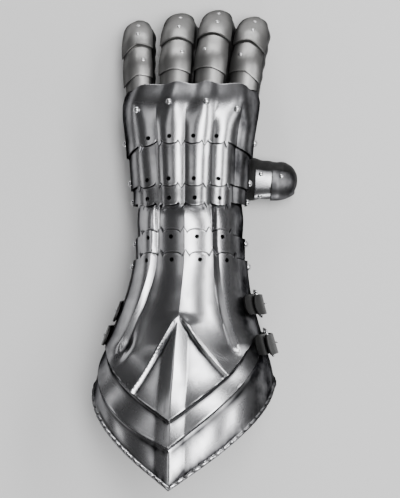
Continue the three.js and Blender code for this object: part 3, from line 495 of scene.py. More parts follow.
# ---- fingers
@dataclass(frozen=True)
class Finger:
    """A finger's middle line from start to tip, its half widths, and where its plates begin."""

    name: str
    start: Triple
    tip: Triple
    wide: float
    wide_tip: float
    high: float
    middle: float
    last: float
    skew: float = 0.0
    half: float = 49.0
    overlap: float = 0.09
    dip: float = 0.035
    roll: float = -4.0


FINGERS = (
    Finger("little", (-40.6, 127, 24), (-43.6, 187, 5.2), 12.0, 13.2, 9.6, 0.23, 0.59, -0.11),
    Finger("ring", (-12.0, 127, 35), (-9.0, 192, 4.6), 13.0, 14.0, 10.4, 0.245, 0.57, -0.03),
    Finger("middle", (14.9, 127, 36), (21.6, 194, 4.6), 13.0, 14.0, 10.4, 0.25, 0.6, 0.02),
    Finger("index", (41.2, 127, 29), (50.6, 188.5, 5.0), 12.7, 13.8, 10.0, 0.24, 0.58, 0.08),
)
THUMB = Finger("thumb", (24, 62, 12), (84, 59, 8.4), 20.5, 15.0, 9.6, 0.43, 0.64, 0.0, 43, 0.07, 0.0, 20)
FINGER_BEND = SmoothTable(("part", "drop"), [(0, 0), (0.35, 0.09), (0.65, 0.42), (0.85, 0.78), (1, 1.02)])
TIP_DOME, THUMB_END, STAND = 13.0, 0.94, (0.22, 0.78)
WIDE_END = 0.7  # how far along a finger has its tip's width
BEND_STEP, BEND_END = 0.02, 0.98  # how far along a finger its slope is measured, and up to where


def finger_point(finger: Finger, part: Array, angle: Array, lift: Array) -> Array:
    """Args: a finger, parts of its length, angles from its top, heights. Returns: points."""
    part, angle, lift = spread(part, angle, lift)
    start, tip = np.array(finger.start), np.array(finger.tip)
    run = (tip - start) * (1, 1, 0)
    length = float(np.linalg.norm(run))
    along = run / length
    across = np.array([along[1], -along[0], 0.0])

    def height(place: Array) -> Array:
        return lerp(start[2], tip[2], FINGER_BEND.at(place, "drop"))

    span = np.where(part > BEND_END, BEND_STEP, 2 * BEND_STEP)
    slope = (height(part + BEND_STEP) - height(part - BEND_STEP)) / (length * span)
    forward = normalized(along + slope[..., None] * UP)
    up = np.cross(across, forward)
    dome_start = 1 - TIP_DOME / length
    t = np.clip((part - dome_start) / (1 - dome_start), 0, 1)
    ring = np.sqrt(np.maximum(0, 1 - t * t))
    wide = lerp(finger.wide, finger.wide_tip, smoothstep(part, 0, WIDE_END))
    middle = start * (1, 1, 0) + run * part[..., None] + height(part)[..., None] * UP
    sine, cosine = sine_cosine(angle)
    return (
        middle
        + forward * (lift * t)[..., None]
        + across * ((wide + lift) * ring * sine)[..., None]
        + up * ((finger.high + lift) * ring * cosine)[..., None]
    )


# ---- the leather's form
GLOVE = SmoothTable(
    ("y", "back", "palm"),
    [(44, -8, -4), (52, -5, -2.4), (62, -2, -1), (76, 1, 0), (94, 2.8, 0.4), (105, 5.4, 0.6), (126, 6, 0.8)],
)
PALM_TO_BACK = (-0.35, 0.35)


def glove_lift(y: Array, angle: Array) -> Array:
    """Args: places and angles. Returns: the leather's outside over the arm's form."""
    back = smoothstep(sine_cosine(angle)[1], *PALM_TO_BACK)
    return lerp(GLOVE.at(y, "palm"), GLOVE.at(y, "back"), back)


# ---- materials
SHOWN = "shown_"  # how the names of this scene's pieces and materials begin


class Value:
    """A node's output that can be added, multiplied and compared like a number."""

    def __init__(self, socket: bpy.types.NodeSocket) -> None:
        """Args: the output socket."""
        self.socket = socket
        self.tree = socket.id_data

    def math(self, operation: str, other: "Value | float") -> "Value":
        """Args: a math node's operation and its second input. Returns: its result."""
        node = self.tree.nodes.new("ShaderNodeMath")
        node.operation = operation
        self.tree.links.new(self.socket, node.inputs[0])
        if isinstance(other, Value):
            self.tree.links.new(other.socket, node.inputs[1])
        else:
            node.inputs[1].default_value = other
        return Value(node.outputs[0])

    def __add__(self, other: "Value | float") -> "Value":
        return self.math("ADD", other)

    def __mul__(self, other: "Value | float") -> "Value":
        return self.math("MULTIPLY", other)

    __radd__, __rmul__ = __add__, __mul__

    def ramp(self, low: float, high: float) -> "Value":
        """Args: where a rise starts and ends. Returns: 0 to 1 between them."""
        node = self.tree.nodes.new("ShaderNodeMapRange")
        self.tree.links.new(self.socket, node.inputs["Value"])
        node.inputs["From Min"].default_value = low
        node.inputs["From Max"].default_value = high
        return Value(node.outputs["Result"])


class Shader:
    """A material around one Principled BSDF, with the few nodes that the finishes need."""

    def __init__(self, name: str) -> None:
        """Args: the material's name."""
        self.material = bpy.data.materials.new(name)
        self.material.use_nodes = True
        self.tree = self.material.node_tree
        self.surface = self.tree.nodes["Principled BSDF"]

    def node(self, kind: str, links: dict[str, Value] | None = None, **settings: object) -> bpy.types.Node:
        """Args: a node type, its links, and its settings by socket or property. Returns: the node."""
        made = self.tree.nodes.new(kind)
        for key, setting in settings.items():
            if key in made.inputs:
                made.inputs[key].default_value = setting
            else:
                setattr(made, key, setting)
        for key, value in (links or {}).items():
            self.tree.links.new(value.socket, made.inputs[key])
        return made

    def place(self, scale: Triple) -> Value:
        """Args: how much each axis is stretched. Returns: object coordinates so stretched."""
        where = Value(self.node("ShaderNodeTexCoord").outputs["Object"])
        mapped = self.node("ShaderNodeMapping", {"Vector": where}, Scale=scale)
        return Value(mapped.outputs["Vector"])

    def noise(self, scale: Triple, detail: float, rough: float) -> Value:
        """Args: scale along each axis per metre, detail and roughness. Returns: noise from 0 to 1."""
        links = {"Vector": self.place(scale)}
        made = self.node("ShaderNodeTexNoise", links, Scale=1.0, Detail=detail, Roughness=rough)
        return Value(made.outputs[0])

    def cells(self, scale: float) -> Value:
        """Args: cells per metre. Returns: distance to the cells' edges."""
        links = {"Vector": self.place((1, 1, 1))}
        made = self.node("ShaderNodeTexVoronoi", links, feature="DISTANCE_TO_EDGE", Scale=scale)
        return Value(made.outputs["Distance"])

    def attribute(self, name: str) -> Value:
        """Args: an attribute of the mesh. Returns: its value."""
        made = self.node("ShaderNodeAttribute", attribute_name=name)
        return Value(made.outputs["Fac"])

    def put(self, socket: bpy.types.NodeSocket, value: "Value | float | tuple[float, ...]") -> None:
        """Args: a socket and what it gets: another node's value, a number or a colour."""
        if isinstance(value, Value):
            self.tree.links.new(value.socket, socket)
        else:
            socket.default_value = (*value, 1.0) if isinstance(value, tuple) else value

    def mix(self, share: Value, a: "Value | tuple[float, ...]", b: tuple[float, ...]) -> Value:
        """Args: a share and two colours. Returns: the colour between them."""
        made = self.node("ShaderNodeMix", data_type="RGBA")
        for i, value in ((MIX_SHARE, share), (MIX_A, a), (MIX_B, b)):
            self.put(made.inputs[i], value)
        return Value(made.outputs[MIX_OUT])

    def bump(self, height: Value) -> Value:
        """Args: a height in mm. Returns: the normal."""
        made = self.node("ShaderNodeBump", {"Height": height}, Strength=1.0, Distance=MM)
        return Value(made.outputs["Normal"])

    def feed(self, **inputs: "Value | float | tuple[float, ...]") -> None:
        """Args: what each of the surface's inputs gets, spaces written as underscores."""
        for key, value in inputs.items():
            self.put(self.surface.inputs[key.replace("_", " ")], value)


# the near-black colour of painted shadow under plates' edges, round holes and in the rope's notches, and how
# much rougher it makes the steel
PAINTED_SHADOW_COLOR, PAINTED_SHADOW_ROUGH = (0.004, 0.004, 0.004), 0.3
RUBBED, RUBBED_ROUGH = (0.72, 0.72, 0.73), -0.12  # steel where it stands up and is rubbed bright
EDGE_TINT = (0.10, 0.10, 0.10)  # steel that turns away reflects less than its face
# the share of random worn patches and of painted shade in darkening and roughening the steel, and the
# scratches' depth
PATCH_WEAR, PAINTED_SHADE_SHARE, SCRATCH_DEPTH = 0.35, 0.9, 0.0012
FINE_GRAIN, FINE_ROUGH, LEATHER_SHEEN = 0.5, 0.12, 0.25
# noises: how often along x, y and z, detail, roughness; and where a ramp starts and ends
HAMMER_WAVES, BRUSHED = ((38, 26, 38), 2.0, 0.5), ((2600, 160, 2600), 2.0, 0.6)
PATCHES, PATCHES_RAMP = ((60, 45, 60), 4.0, 0.6), (0.35, 0.75)
SCRATCHES, SCRATCHES_RAMP = ((900, 2400, 900), 5.0, 0.7), (0.55, 0.75)
LEATHER_CELLS, CELLS_RAMP = 900, (0.0, 0.25)
LEATHER_FINE, LEATHER_FOLDS = ((1500, 1500, 1500), 4.0, 0.6), ((90, 150, 90), 3.0, 0.5)
LEATHER_WEAR, LEATHER_WEAR_RAMP = ((120, 120, 120), 4.0, 0.6), (0.5, 0.8)
MIX_SHARE, MIX_A, MIX_B, MIX_OUT = 0, 6, 7, 2  # a Mix node's sockets for colours


@dataclass(frozen=True)
class SteelFinish:
    """How a steel surface is finished."""

    slot: str
    bright: Triple
    # the colour towards which worn patches and painted shade take the steel
    dull: Triple
    smooth: float
    rough: float
    hammered: float
    brushed: float

    def material(self) -> bpy.types.Material:
        """Returns: polished or satin steel with hammer waves and fine scratches; darker and rougher in random
        worn patches and under painted shade, near black under painted shadow.
        """
        shader = Shader(SHOWN + self.slot)
        crease, soot, shine = (shader.attribute(name) for name in ("crease", "soot", "shine"))
        waves = shader.noise(*HAMMER_WAVES)
        patches = shader.noise(*PATCHES).ramp(*PATCHES_RAMP)
        grain = shader.noise(*BRUSHED)
        scratches = shader.noise(*SCRATCHES).ramp(*SCRATCHES_RAMP)
        # random worn patches plus painted shade, both making the steel darker and rougher
        wear = (patches * PATCH_WEAR + crease * PAINTED_SHADE_SHARE).math("MINIMUM", 1.0)
        rough = self.smooth + (self.rough - self.smooth) * wear + grain * self.brushed
        steel = shader.mix(wear, self.bright, self.dull)
        height = waves * self.hammered + grain * SCRATCH_DEPTH + scratches * -SCRATCH_DEPTH
        shader.feed(
            # painted shadow takes the colour to near black
            Base_Color=shader.mix(soot, shader.mix(shine, steel, RUBBED), PAINTED_SHADOW_COLOR),
            Metallic=1.0,
            Specular_Tint=EDGE_TINT,
            Roughness=rough + soot * PAINTED_SHADOW_ROUGH + shine * RUBBED_ROUGH,
            Normal=shader.bump(height),
        )
        return shader.material


@dataclass(frozen=True)
class LeatherFinish:
    """How a leather surface is finished."""

    slot: str
    color: Triple
    worn: Triple
    rough: float
    grain: float
    folds: float

    def material(self) -> bpy.types.Material:
        """Returns: dyed leather with fine grain, soft folds and slightly paler wear."""
        shader = Shader(SHOWN + self.slot)
        cells = shader.cells(LEATHER_CELLS).ramp(*CELLS_RAMP)
        fine = shader.noise(*LEATHER_FINE)
        folds = shader.noise(*LEATHER_FOLDS)
        wear = shader.noise(*LEATHER_WEAR).ramp(*LEATHER_WEAR_RAMP)
        height = cells * self.grain + fine * self.grain * FINE_GRAIN + folds * self.folds
        shader.feed(
            Base_Color=shader.mix(wear, self.color, self.worn),
            Roughness=self.rough + fine * FINE_ROUGH,
            Specular_IOR_Level=LEATHER_SHEEN,
            Metallic=0.0,
            Normal=shader.bump(height),
        )
        return shader.material


class Finish(Enum):
    """The finishes of the gauntlet's pieces."""

    POLISHED = SteelFinish(
        "polished_steel", (0.62, 0.62, 0.64), (0.022, 0.022, 0.024), 0.17, 0.34, 0.16, 0.06
    )
    SATIN = SteelFinish("satin_steel", (0.32, 0.317, 0.313), (0.10, 0.099, 0.098), 0.33, 0.46, 0.08, 0.10)
    RIVET = SteelFinish("rivet_steel", (0.72, 0.72, 0.74), (0.40, 0.40, 0.41), 0.14, 0.32, 0.03, 0.04)
    GLOVE = LeatherFinish("black_leather", (0.003, 0.003, 0.003), (0.009, 0.008, 0.008), 0.40, 0.05, 0.5)
    STRAP = LeatherFinish("strap_leather", (0.002, 0.002, 0.002), (0.006, 0.005, 0.005), 0.32, 0.04, 0.1)

    @property
    def material(self) -> bpy.types.Material:
        """Returns: this finish's material, made once."""
        return bpy.data.materials.get(SHOWN + self.value.slot) or self.value.material()


# ---- making pieces
SHARP = 60.0  # an edge that folds by more is rounded off
DOME_SUNK = 0.25  # how deep a rivet's head starts


def select(*objects: Solid) -> None:
    """Args: objects. Selects just these in object mode, the first as the active one."""
    if bpy.context.mode != "OBJECT":
        bpy.ops.object.mode_set(mode="OBJECT")
    bpy.ops.object.select_all(action="DESELECT")
    for one in objects:
        one.select_set(True)
    if objects:
        bpy.context.view_layer.objects.active = objects[0]


def add(operator: Callable[..., object], name: str, **settings: object) -> Solid:
    """Args: an operator that adds an object, the object's name, the settings. Returns: the object."""
    select()
    operator(**settings)
    made = bpy.context.active_object
    made.name = name
    return made


def grid(name: str, points: Array) -> Solid:
    """Args: a name and points in mm by row and column. Returns: a grid drawn out to those points."""
    rows, columns = points.shape[:2]
    steps = {"x_subdivisions": columns - 1, "y_subdivisions": rows - 1}
    made = add(bpy.ops.mesh.primitive_grid_add, name, size=2, **steps)
    flat = np.empty(len(made.data.vertices) * 3)
    made.data.vertices.foreach_get("co", flat)
    flat = flat.reshape(-1, 3)
    column = np.rint((flat[:, 0] + 1) / 2 * (columns - 1)).astype(int)
    row = np.rint((flat[:, 1] + 1) / 2 * (rows - 1)).astype(int)
    made.data.vertices.foreach_set("co", ((points[row, column] + ORIGIN) * MM).ravel())
    made.data.update()
    return made


def paint(made: Solid, name: str, values: Array) -> None:
    """Args: a grid, an attribute's name and its values by row and column. Stores them on the vertices."""
    layer = made.data.attributes.new(name, "FLOAT", "POINT")
    layer.data.foreach_set("value", values.reshape(-1).astype(np.float32))


def modify(made: Solid, kind: str, **settings: object) -> None:
    """Args: an object, a modifier's type and its settings. Adds the modifier and applies it."""
    select(made)
    modifier = made.modifiers.new(kind.title(), kind)
    for key, setting in settings.items():
        setattr(modifier, key, setting)
    bpy.ops.object.modifier_apply(modifier=modifier.name)


def smooth(made: Solid, angle: float = 32.0) -> Solid:
    """Args: an object and the angle past which an edge stays sharp. Returns: it, the rest shaded smoothly."""
    select(made)
    bpy.ops.object.shade_smooth_by_angle(angle=math.radians(angle))
    return made


def weld(made: Solid, distance: float, holes_to: int | None = None) -> Solid:
    """Args: an object, how near vertices merge in mm, most sides of a hole to fill. Returns: it."""
    select(made)
    bpy.ops.object.mode_set(mode="EDIT")
    bpy.ops.mesh.select_all(action="SELECT")
    bpy.ops.mesh.remove_doubles(threshold=distance * MM)
    if holes_to is not None:
        bpy.ops.mesh.fill_holes(sides=holes_to)
        bpy.ops.mesh.select_all(action="SELECT")
    bpy.ops.mesh.normals_make_consistent(inside=False)
    bpy.ops.object.mode_set(mode="OBJECT")
    return made


def sheet(made: Solid, thickness: float, edge: float, segments: int = 2) -> None:
    """Args: an object, the sheet's thickness, its edges' radius in mm and their segments."""
    modify(made, "SOLIDIFY", thickness=thickness * MM, offset=-1.0, use_even_offset=False)
    limit = math.radians(SHARP)
    modify(made, "BEVEL", width=edge * MM, segments=segments, limit_method="ANGLE", angle_limit=limit)


def join(first: Solid, *others: Solid) -> Solid:
    """Args: objects. Returns: the first, holding them all."""
    select(first, *others)
    bpy.ops.object.join()
    return first


def turned(direction: Array) -> Triple:
    """Args: a direction. Returns: the rotation that takes +Z there."""
    return tuple(Vector([float(v) for v in direction]).to_track_quat("Z", "Y").to_euler())


def at_place(point: Array) -> Triple:
    """Args: a point of the tables in mm. Returns: it in the frame, in metres."""
    return tuple(float(v) for v in (np.asarray(point) + ORIGIN) * MM)


def settle(made: Solid) -> Solid:
    """Args: an object. Returns: the same, its place held in its vertices."""
    select(made)
    bpy.ops.object.transform_apply(location=True, rotation=True, scale=True)
    return made


DOME_AROUND, DOME_RINGS = 28, 16


def dome(point: Array, direction: Array, radius: float, height: float) -> Solid:
    """Args: where it sits, where it points, its radius and height in mm. Returns: a low round head."""
    sunk = np.asarray(point) - np.asarray(direction) * DOME_SUNK
    place = {"location": at_place(sunk), "rotation": turned(direction)}
    ball = bpy.ops.mesh.primitive_uv_sphere_add
    made = add(ball, "dome", segments=DOME_AROUND, ring_count=DOME_RINGS, radius=radius * MM, **place)
    made.scale = (1.0, 1.0, (height + DOME_SUNK) / radius)
    return settle(made)


def rod(start: Array, end: Array, radius: float, sides: int = 24) -> Solid:
    """Args: the ends of a round rod and its radius, in mm. Returns: the rod."""
    start, end = np.asarray(start, float), np.asarray(end, float)
    run = end - start
    place = {"location": at_place((start + end) / 2), "rotation": turned(run)}
    depth = float(np.linalg.norm(run)) * MM
    bar = bpy.ops.mesh.primitive_cylinder_add
    return settle(add(bar, "rod", vertices=sides, radius=radius * MM, depth=depth, **place))


def drill(made: Solid, cutters: Sequence[Solid]) -> None:
    """Args: an object and the cutters to take out of it. The cutters are used up."""
    cutter = join(*cutters)
    modify(made, "BOOLEAN", operation="DIFFERENCE", object=cutter, solver="EXACT")
    bpy.data.objects.remove(cutter, do_unlink=True)


class Piece:
    """A visible piece: made at rest in the frame, then handed to its rigid body."""

    finish = Finish.POLISHED

    def __init__(self, name: str, body: Body, nodes: Sequence[str]) -> None:
        """Args: the piece's name, the body it rides on, the CAD nodes that it stands for."""
        self.name = name
        self.body = body
        self.nodes = tuple(nodes)

    def shape(self) -> Solid:
        """Returns: the piece's mesh at rest. Each kind of piece makes its own."""
        raise NotImplementedError

    def build(self) -> Solid:
        """Returns: the finished piece, riding on its body."""
        made = self.shape()
        made.name = self.name
        if not made.data.materials:
            made.data.materials.append(self.finish.material)
        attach(made, self.body.value)
        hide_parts(*self.nodes)
        LOG.info("built %s: %d faces", self.name, len(made.data.polygons))
        return made


ROUNDING = 1e-6


def spaced(stops: Sequence[float], widest: float) -> Array:
    """Args: stops in order and the widest step. Returns: the stops with even steps between them."""
    out = [float(stops[0])]
    for a, b in zip(stops, stops[1:]):
        count = max(1, math.ceil((b - a) / widest - ROUNDING))
        out += [a + (b - a) * (i + 1) / count for i in range(count)]
    return np.array(out)


CREASE_REACH, CREASE_DEPTH = 3, 0.5  # in steps of the grid, and mm


def creases(lift: Array) -> Array:
    """Args: heights by row and column. Returns: 0 to 1, high in the creases, where it is laid as painted
    shade.
    """
    total = np.zeros_like(lift)
    padded = np.pad(lift, CREASE_REACH, mode="edge")
    span = range(2 * CREASE_REACH + 1)
    for i in span:
        for j in span:
            total += padded[i : i + lift.shape[0], j : j + lift.shape[1]]
    return np.clip((total / len(span) ** 2 - lift) / CREASE_DEPTH, 0.0, 1.0)


# Painted shade, darker and rougher steel standing in for dark reflections, on the plates' sides past these
# angles; and on the hand plate at its front, where it stands in for a dim reflection.
FLANK_LITTLE, FLANK_THUMB, FLANK_SHADE = (42.0, 78.0), (30.0, 56.0), 0.82
KNUCKLE_SHADE_Y, KNUCKLE_SHADE = (108.0, 124.0), 0.55
# painted shade all over the thumb's tip plate, for the shadow it lies in
THUMB_TIP_SHADE = 0.85
# Painted shadow, near black, under a plate's edge: from how far inside it, and where it fades, in mm. Also
# round its holes.
SHADOW_INSIDE, SHADOW_FADE, SHADOW_HOLE = -1.0, (0.4, 1.7), (HOLE_RADIUS + 0.6, HOLE_RADIUS + 1.4)
MM_PER_DEGREE = 0.7  # round the hand and wrist
# painted shade in the rope's notches, laid with the painted shadow
ROPE_SHADE = 0.8


def flank_shade(angle: Array) -> Array:
    """Args: angles round the arm. Returns: the painted shade there, darker and rougher steel."""
    return FLANK_SHADE * np.maximum(smoothstep(-angle, *FLANK_LITTLE), smoothstep(angle, *FLANK_THUMB))


def soot(lame: Lame, y: Array, angle: Array) -> Array:
    """Args: a plate and places on it. Returns: 0 to 1, the painted shadow, high along the next plate's edge
    and holes.
    """
    dark = np.zeros_like(y)
    for upper in (upper for lower, upper in OVERLAPS if lower is lame):
        beyond = (y - edge_y(upper, upper.scalloped, angle)) * upper.scalloped.value
        dark = np.maximum(dark, np.where(beyond < SHADOW_INSIDE, 0.0, 1 - smoothstep(beyond, *SHADOW_FADE)))
        for middle, turn in holes(upper):
            away = np.hypot(y - middle, (angle - turn) * MM_PER_DEGREE)
            dark = np.maximum(dark, 1 - smoothstep(away, *SHADOW_HOLE))
    return dark


class LamePlate(Piece):
    """A steel plate of the hand or wrist: lobed or ridged, its free edge cut in scallops."""

    column_step = 0.85
    row_count = 60
    edge = 0.28  # how much its edges are rounded

    def __init__(self, lame: Lame) -> None:
        """Args: the plate's sizes."""
        super().__init__(f"{SHOWN}{lame.node}", lame.body, [lame.node])
        self.lame = lame

    def columns(self) -> Array:
        """Returns: the angles of the sheet's columns, one on each fold and each corner of its edge."""
        lame = self.lame
        first = lame.hole - lame.pitch / 2
        stops = {lame.little, lame.thumb}
        if lame.form in (lobes, knuckled):
            stops |= set(VALLEYS)
        else:
            foot = WRIST_FLUTE - RIDGE.riser
            stops |= {WRIST_RIDGE + off for off in (-WRIST_FLUTE, -foot, 0.0, foot, WRIST_FLUTE)}
        stops |= {first + i * lame.pitch for i in range(SCALLOP_COUNT + 1)}
        lobe = lame.pitch / 2 * SCALLOP_NOTCH
        for i in range(SCALLOP_COUNT):
            stops |= {lame.hole + i * lame.pitch + lobe * share for share in SCALLOP_STOPS}
        kept = sorted(a for a in stops if lame.little <= a <= lame.thumb)
        return spaced(kept, self.column_step)

    def rows(self, columns: Array) -> Array:
        """Args: column angles. Returns: the y of each row in each column, rear edge first."""
        rear, front = (edge_y(self.lame, which, columns) for which in (Edge.REAR, Edge.FRONT))
        parts = np.linspace(0, 1, self.row_count)
        return lerp(rear[None, :], front[None, :], parts[:, None])

    def notches(self, y: Array, angle: Array) -> Array:
        """Args: places and angles. Returns: 0 to 1, high in the notches of the plate's edge."""
        return np.zeros_like(y)

    def bead(self, y: Array, angle: Array) -> Array:
        """Args: places and angles. Returns: what stands up along the plate's edge."""
        return np.zeros_like(y)

    def cutters(self) -> list[Solid]:
        """Returns: a drill at each hole of the plate."""
        lame = self.lame
        drills = []
        for y, turn in holes(lame):
            drills.append(((arm_point(y, turn, lame.level + STEEL), arm_normal(y, turn)), HOLE_RADIUS))
        for joint in JOINTS:
            if lame in (joint.outer, joint.inner):
                drills += [(joint.top(turn), PIVOT.bore) for turn in (90.0, -90.0)]
        if lame is HAND_PLATE:
            drills += [(knuckle.top(), KNUCKLE_RIVET.bore) for knuckle in KNUCKLES]
        return [rod(point - way * DRILL, point + way * DRILL, radius) for (point, way), radius in drills]

    def shape(self) -> Solid:
        """Returns: the plate, one sheet thick, its edges rounded and its holes drilled."""
        lame = self.lame
        columns = self.columns()
        y = self.rows(columns)
        angle = sheet_angle(lame, y, np.broadcast_to(columns, y.shape))
        lift = lame_lift(lame, y, angle)
        bead = self.bead(y, angle)
        made = grid(self.name, arm_point(y, angle, lift + STEEL + bead))
        # painted shade, darker and rougher steel, in the relief's creases and on the plate's sides
        dull = np.maximum(creases(lame.form(y, angle) + bead), flank_shade(angle))
        if lame is HAND_PLATE:
            # painted shade on the hand plate's front band: rougher, and darker in colour for its dim
            # reflection
            dull = np.maximum(dull, KNUCKLE_SHADE * smoothstep(y, *KNUCKLE_SHADE_Y))
        paint(made, "crease", dull)
        # painted shadow along the next plate's edge, round its holes and in the rope's notches
        paint(made, "soot", np.maximum(soot(lame, y, angle), ROPE_SHADE * self.notches(y, angle)))
        sheet(made, STEEL, self.edge)
        drill(made, self.cutters())
        return smooth(made)


class CuffPlate(LamePlate):
    """The flared cuff: ridge, flutes, kite and chevrons, with a roped rim."""

    column_step = 0.75
    side_from = 62.0  # past this angle every other column is enough
    closest = 0.12  # columns nearer each other than this are one
    counts = (10, 8, 5, 14, 5, 72, 22)  # rows in each band from the rim to the front
    band = 1.6  # least length of a band, mm

    def columns(self) -> Array:
        """Returns: the sheet's column angles, as a plate's."""
        kept = super().columns()
        kept = kept[np.concatenate([[True], np.diff(kept) > self.closest])]
        every_other = np.arange(len(kept)) % 2 == 0
        ends = (kept == kept[0]) | (kept == kept[-1])
        return kept[(np.abs(kept) < self.side_from) | every_other | ends]

    def rows(self, columns: Array) -> Array:
        """Args: column angles. Returns: y by row, one row on each chevron and on the rim's bead."""
        lame = self.lame
        off = off_ridge(FLARE_Y, sheet_angle(lame, np.full_like(columns, FLARE_Y), columns))
        rear = rim_y(off)
        first, second = (chevron_y(line, off) for line in CHEVRONS)
        stops = [rear, rear + RIM.width]
        for i, line in enumerate((second - CHEVRON_RISER, second, first - CHEVRON_RISER, first)):
            stops.append(np.maximum(line, rear + RIM.width + 1 + i * self.band))
        stops += [np.maximum(KITE.apex + 3, first + 3), edge_y(lame, Edge.FRONT, columns)]
        out = [rear]
        for a, b, count in zip(stops, stops[1:], self.counts):
            out += [lerp(a, b, (i + 1) / count) for i in range(count)]
        return np.stack(out)

    def across(self, y: Array, angle: Array) -> Array:
        """Args: places and angles. Returns: -1 to 1 across the turned rim."""
        return np.clip((y - rim_y(off_ridge(y, angle))) / RIM.width, 0, 1) * 2 - 1

    def notches(self, y: Array, angle: Array) -> Array:
        """Args: places and angles. Returns: 0 to 1, high in the slanting notches of the rope."""
        off = off_ridge(FLARE_Y, angle)
        edge = arm_point(rim_y(off[0]), angle[0], self.lame.level)
        steps = np.linalg.norm(np.diff(edge, axis=0), axis=-1)
        along = np.concatenate([[0.0], np.cumsum(steps)])
        ridge = int(np.argmin(np.abs(off[0])))
        across = self.across(y, angle)
        away = np.abs(along - along[ridge])[None, :] + across * RIM.rope_slant
        turn = (away / RIM.rope_pitch + 0.5) % 1.0 - 0.5
        return np.where(across < RIM.rope_end, np.exp(-((turn * RIM.rope_pitch / RIM.rope_notch) ** 2)), 0.0)

    def bead(self, y: Array, angle: Array) -> Array:
        """Args: places and angles. Returns: the turned rim with its rope."""
        across = self.across(y, angle)
        height = RIM.bead - RIM.rope_depth * self.notches(y, angle)
        return height * np.sqrt(np.maximum(0, 1 - across * across))


@dataclass(frozen=True)
class RivetSizes:
    """A rivet: radius of its shank, of its bore and of its head, and the head's height."""

    shank: float
    bore: float
    head: float
    height: float


PIVOT = RivetSizes(1.3, 1.9, 2.7, 1.9)
KNUCKLE_RIVET = RivetSizes(1.1, 1.5, 2.7, 1.8)
PLATE_HEAD = (1.9, 1.0)  # radius and height of the small rivets' heads


@dataclass(frozen=True)
class Joint:
    """A pair of rivets that two plates turn on; the outer plate holds them."""

    name: str
    y: float
    outer: Lame
    inner: Lame

    def top(self, angle: float) -> Seat:
        """Args: 90 for the thumb side, -90 for the other. Returns: the seat under the head, outwards."""
        lift = float(lame_lift(self.outer, np.array(self.y), np.array(angle))) + STEEL + RIVET_GAP
        return arm_point(self.y, angle, lift), np.array([math.copysign(1.0, angle), 0.0, 0.0])

    def grip(self, angle: float) -> float:
        """Args: the side's angle. Returns: the length from head to washer."""
        y, turn = np.array(self.y), np.array(angle)
        apart = float(lame_lift(self.outer, y, turn) - lame_lift(self.inner, y, turn))
        return apart + STEEL + 2 * RIVET_GAP


@dataclass(frozen=True)
class Knuckle:
    """A large rivet over a knuckle."""

    name: str
    y: float
    angle: float
    grip: float = 8.2

    def top(self) -> Seat:
        """Returns: the seat under the head, and the direction it points."""
        point, out = lame_top(HAND_PLATE, self.y, self.angle)
        return point + out * RIVET_GAP, out


JOINTS = (
    Joint("knuckle_side", 87.5, HAND_PLATE, HAND_LAME_FRONT),
    Joint("hand_side", 56.0, HAND_LAME_FRONT, HAND_LAME_BACK),
    Joint("wrist_front", 41.0, HAND_LAME_BACK, WRIST_LAME_FRONT),
    Joint("wrist_back", 8.5, WRIST_LAME_BACK, WRIST_LAME_FRONT),
    Joint("cuff_side", -9.5, CUFF, WRIST_LAME_BACK),
)
KNUCKLES = (
    Knuckle("knuckle_rivet_little", 112.0, -51.0),
    Knuckle("knuckle_rivet_ring", 117.5, -17.5),
    Knuckle("knuckle_rivet_middle", 117.5, 16.0),
    Knuckle("knuckle_rivet_index", 112.0, 47.0),
)


class Rivet(Piece):
    """A peened rivet: a round head outside, a shank and a washer inside."""

    finish = Finish.RIVET
    peen = 0.5  # how far the shank stands out of the washer
    washer, washer_share, washer_sides = 0.9, 0.85, 28  # its thickness, and its radius by the head's

    def __init__(self, node: str, body: Body, seat: Seat, sizes: RivetSizes, grip: float) -> None:
        """Args: the node, its body, the seat and direction of the head, the sizes, head to washer."""
        super().__init__(f"{SHOWN}{node}", body, [node])
        self.seat, self.out = seat
        self.sizes = sizes
        self.grip = grip

    def shape(self) -> Solid:
        """Returns: head, shank and washer as one piece."""
        sizes, out = self.sizes, self.out
        sunk = RIVET_GAP - DOME_SUNK
        head = dome(self.seat - out * sunk, out, sizes.head, sizes.height + sunk)
        shank = rod(self.seat, self.seat - out * (self.grip + self.peen), sizes.shank)
        inside, outside = self.seat - out * self.grip, self.seat - out * (self.grip + self.washer)
        washer = rod(inside, outside, sizes.head * self.washer_share, self.washer_sides)
        made = join(head, shank, washer)
        return smooth(made)


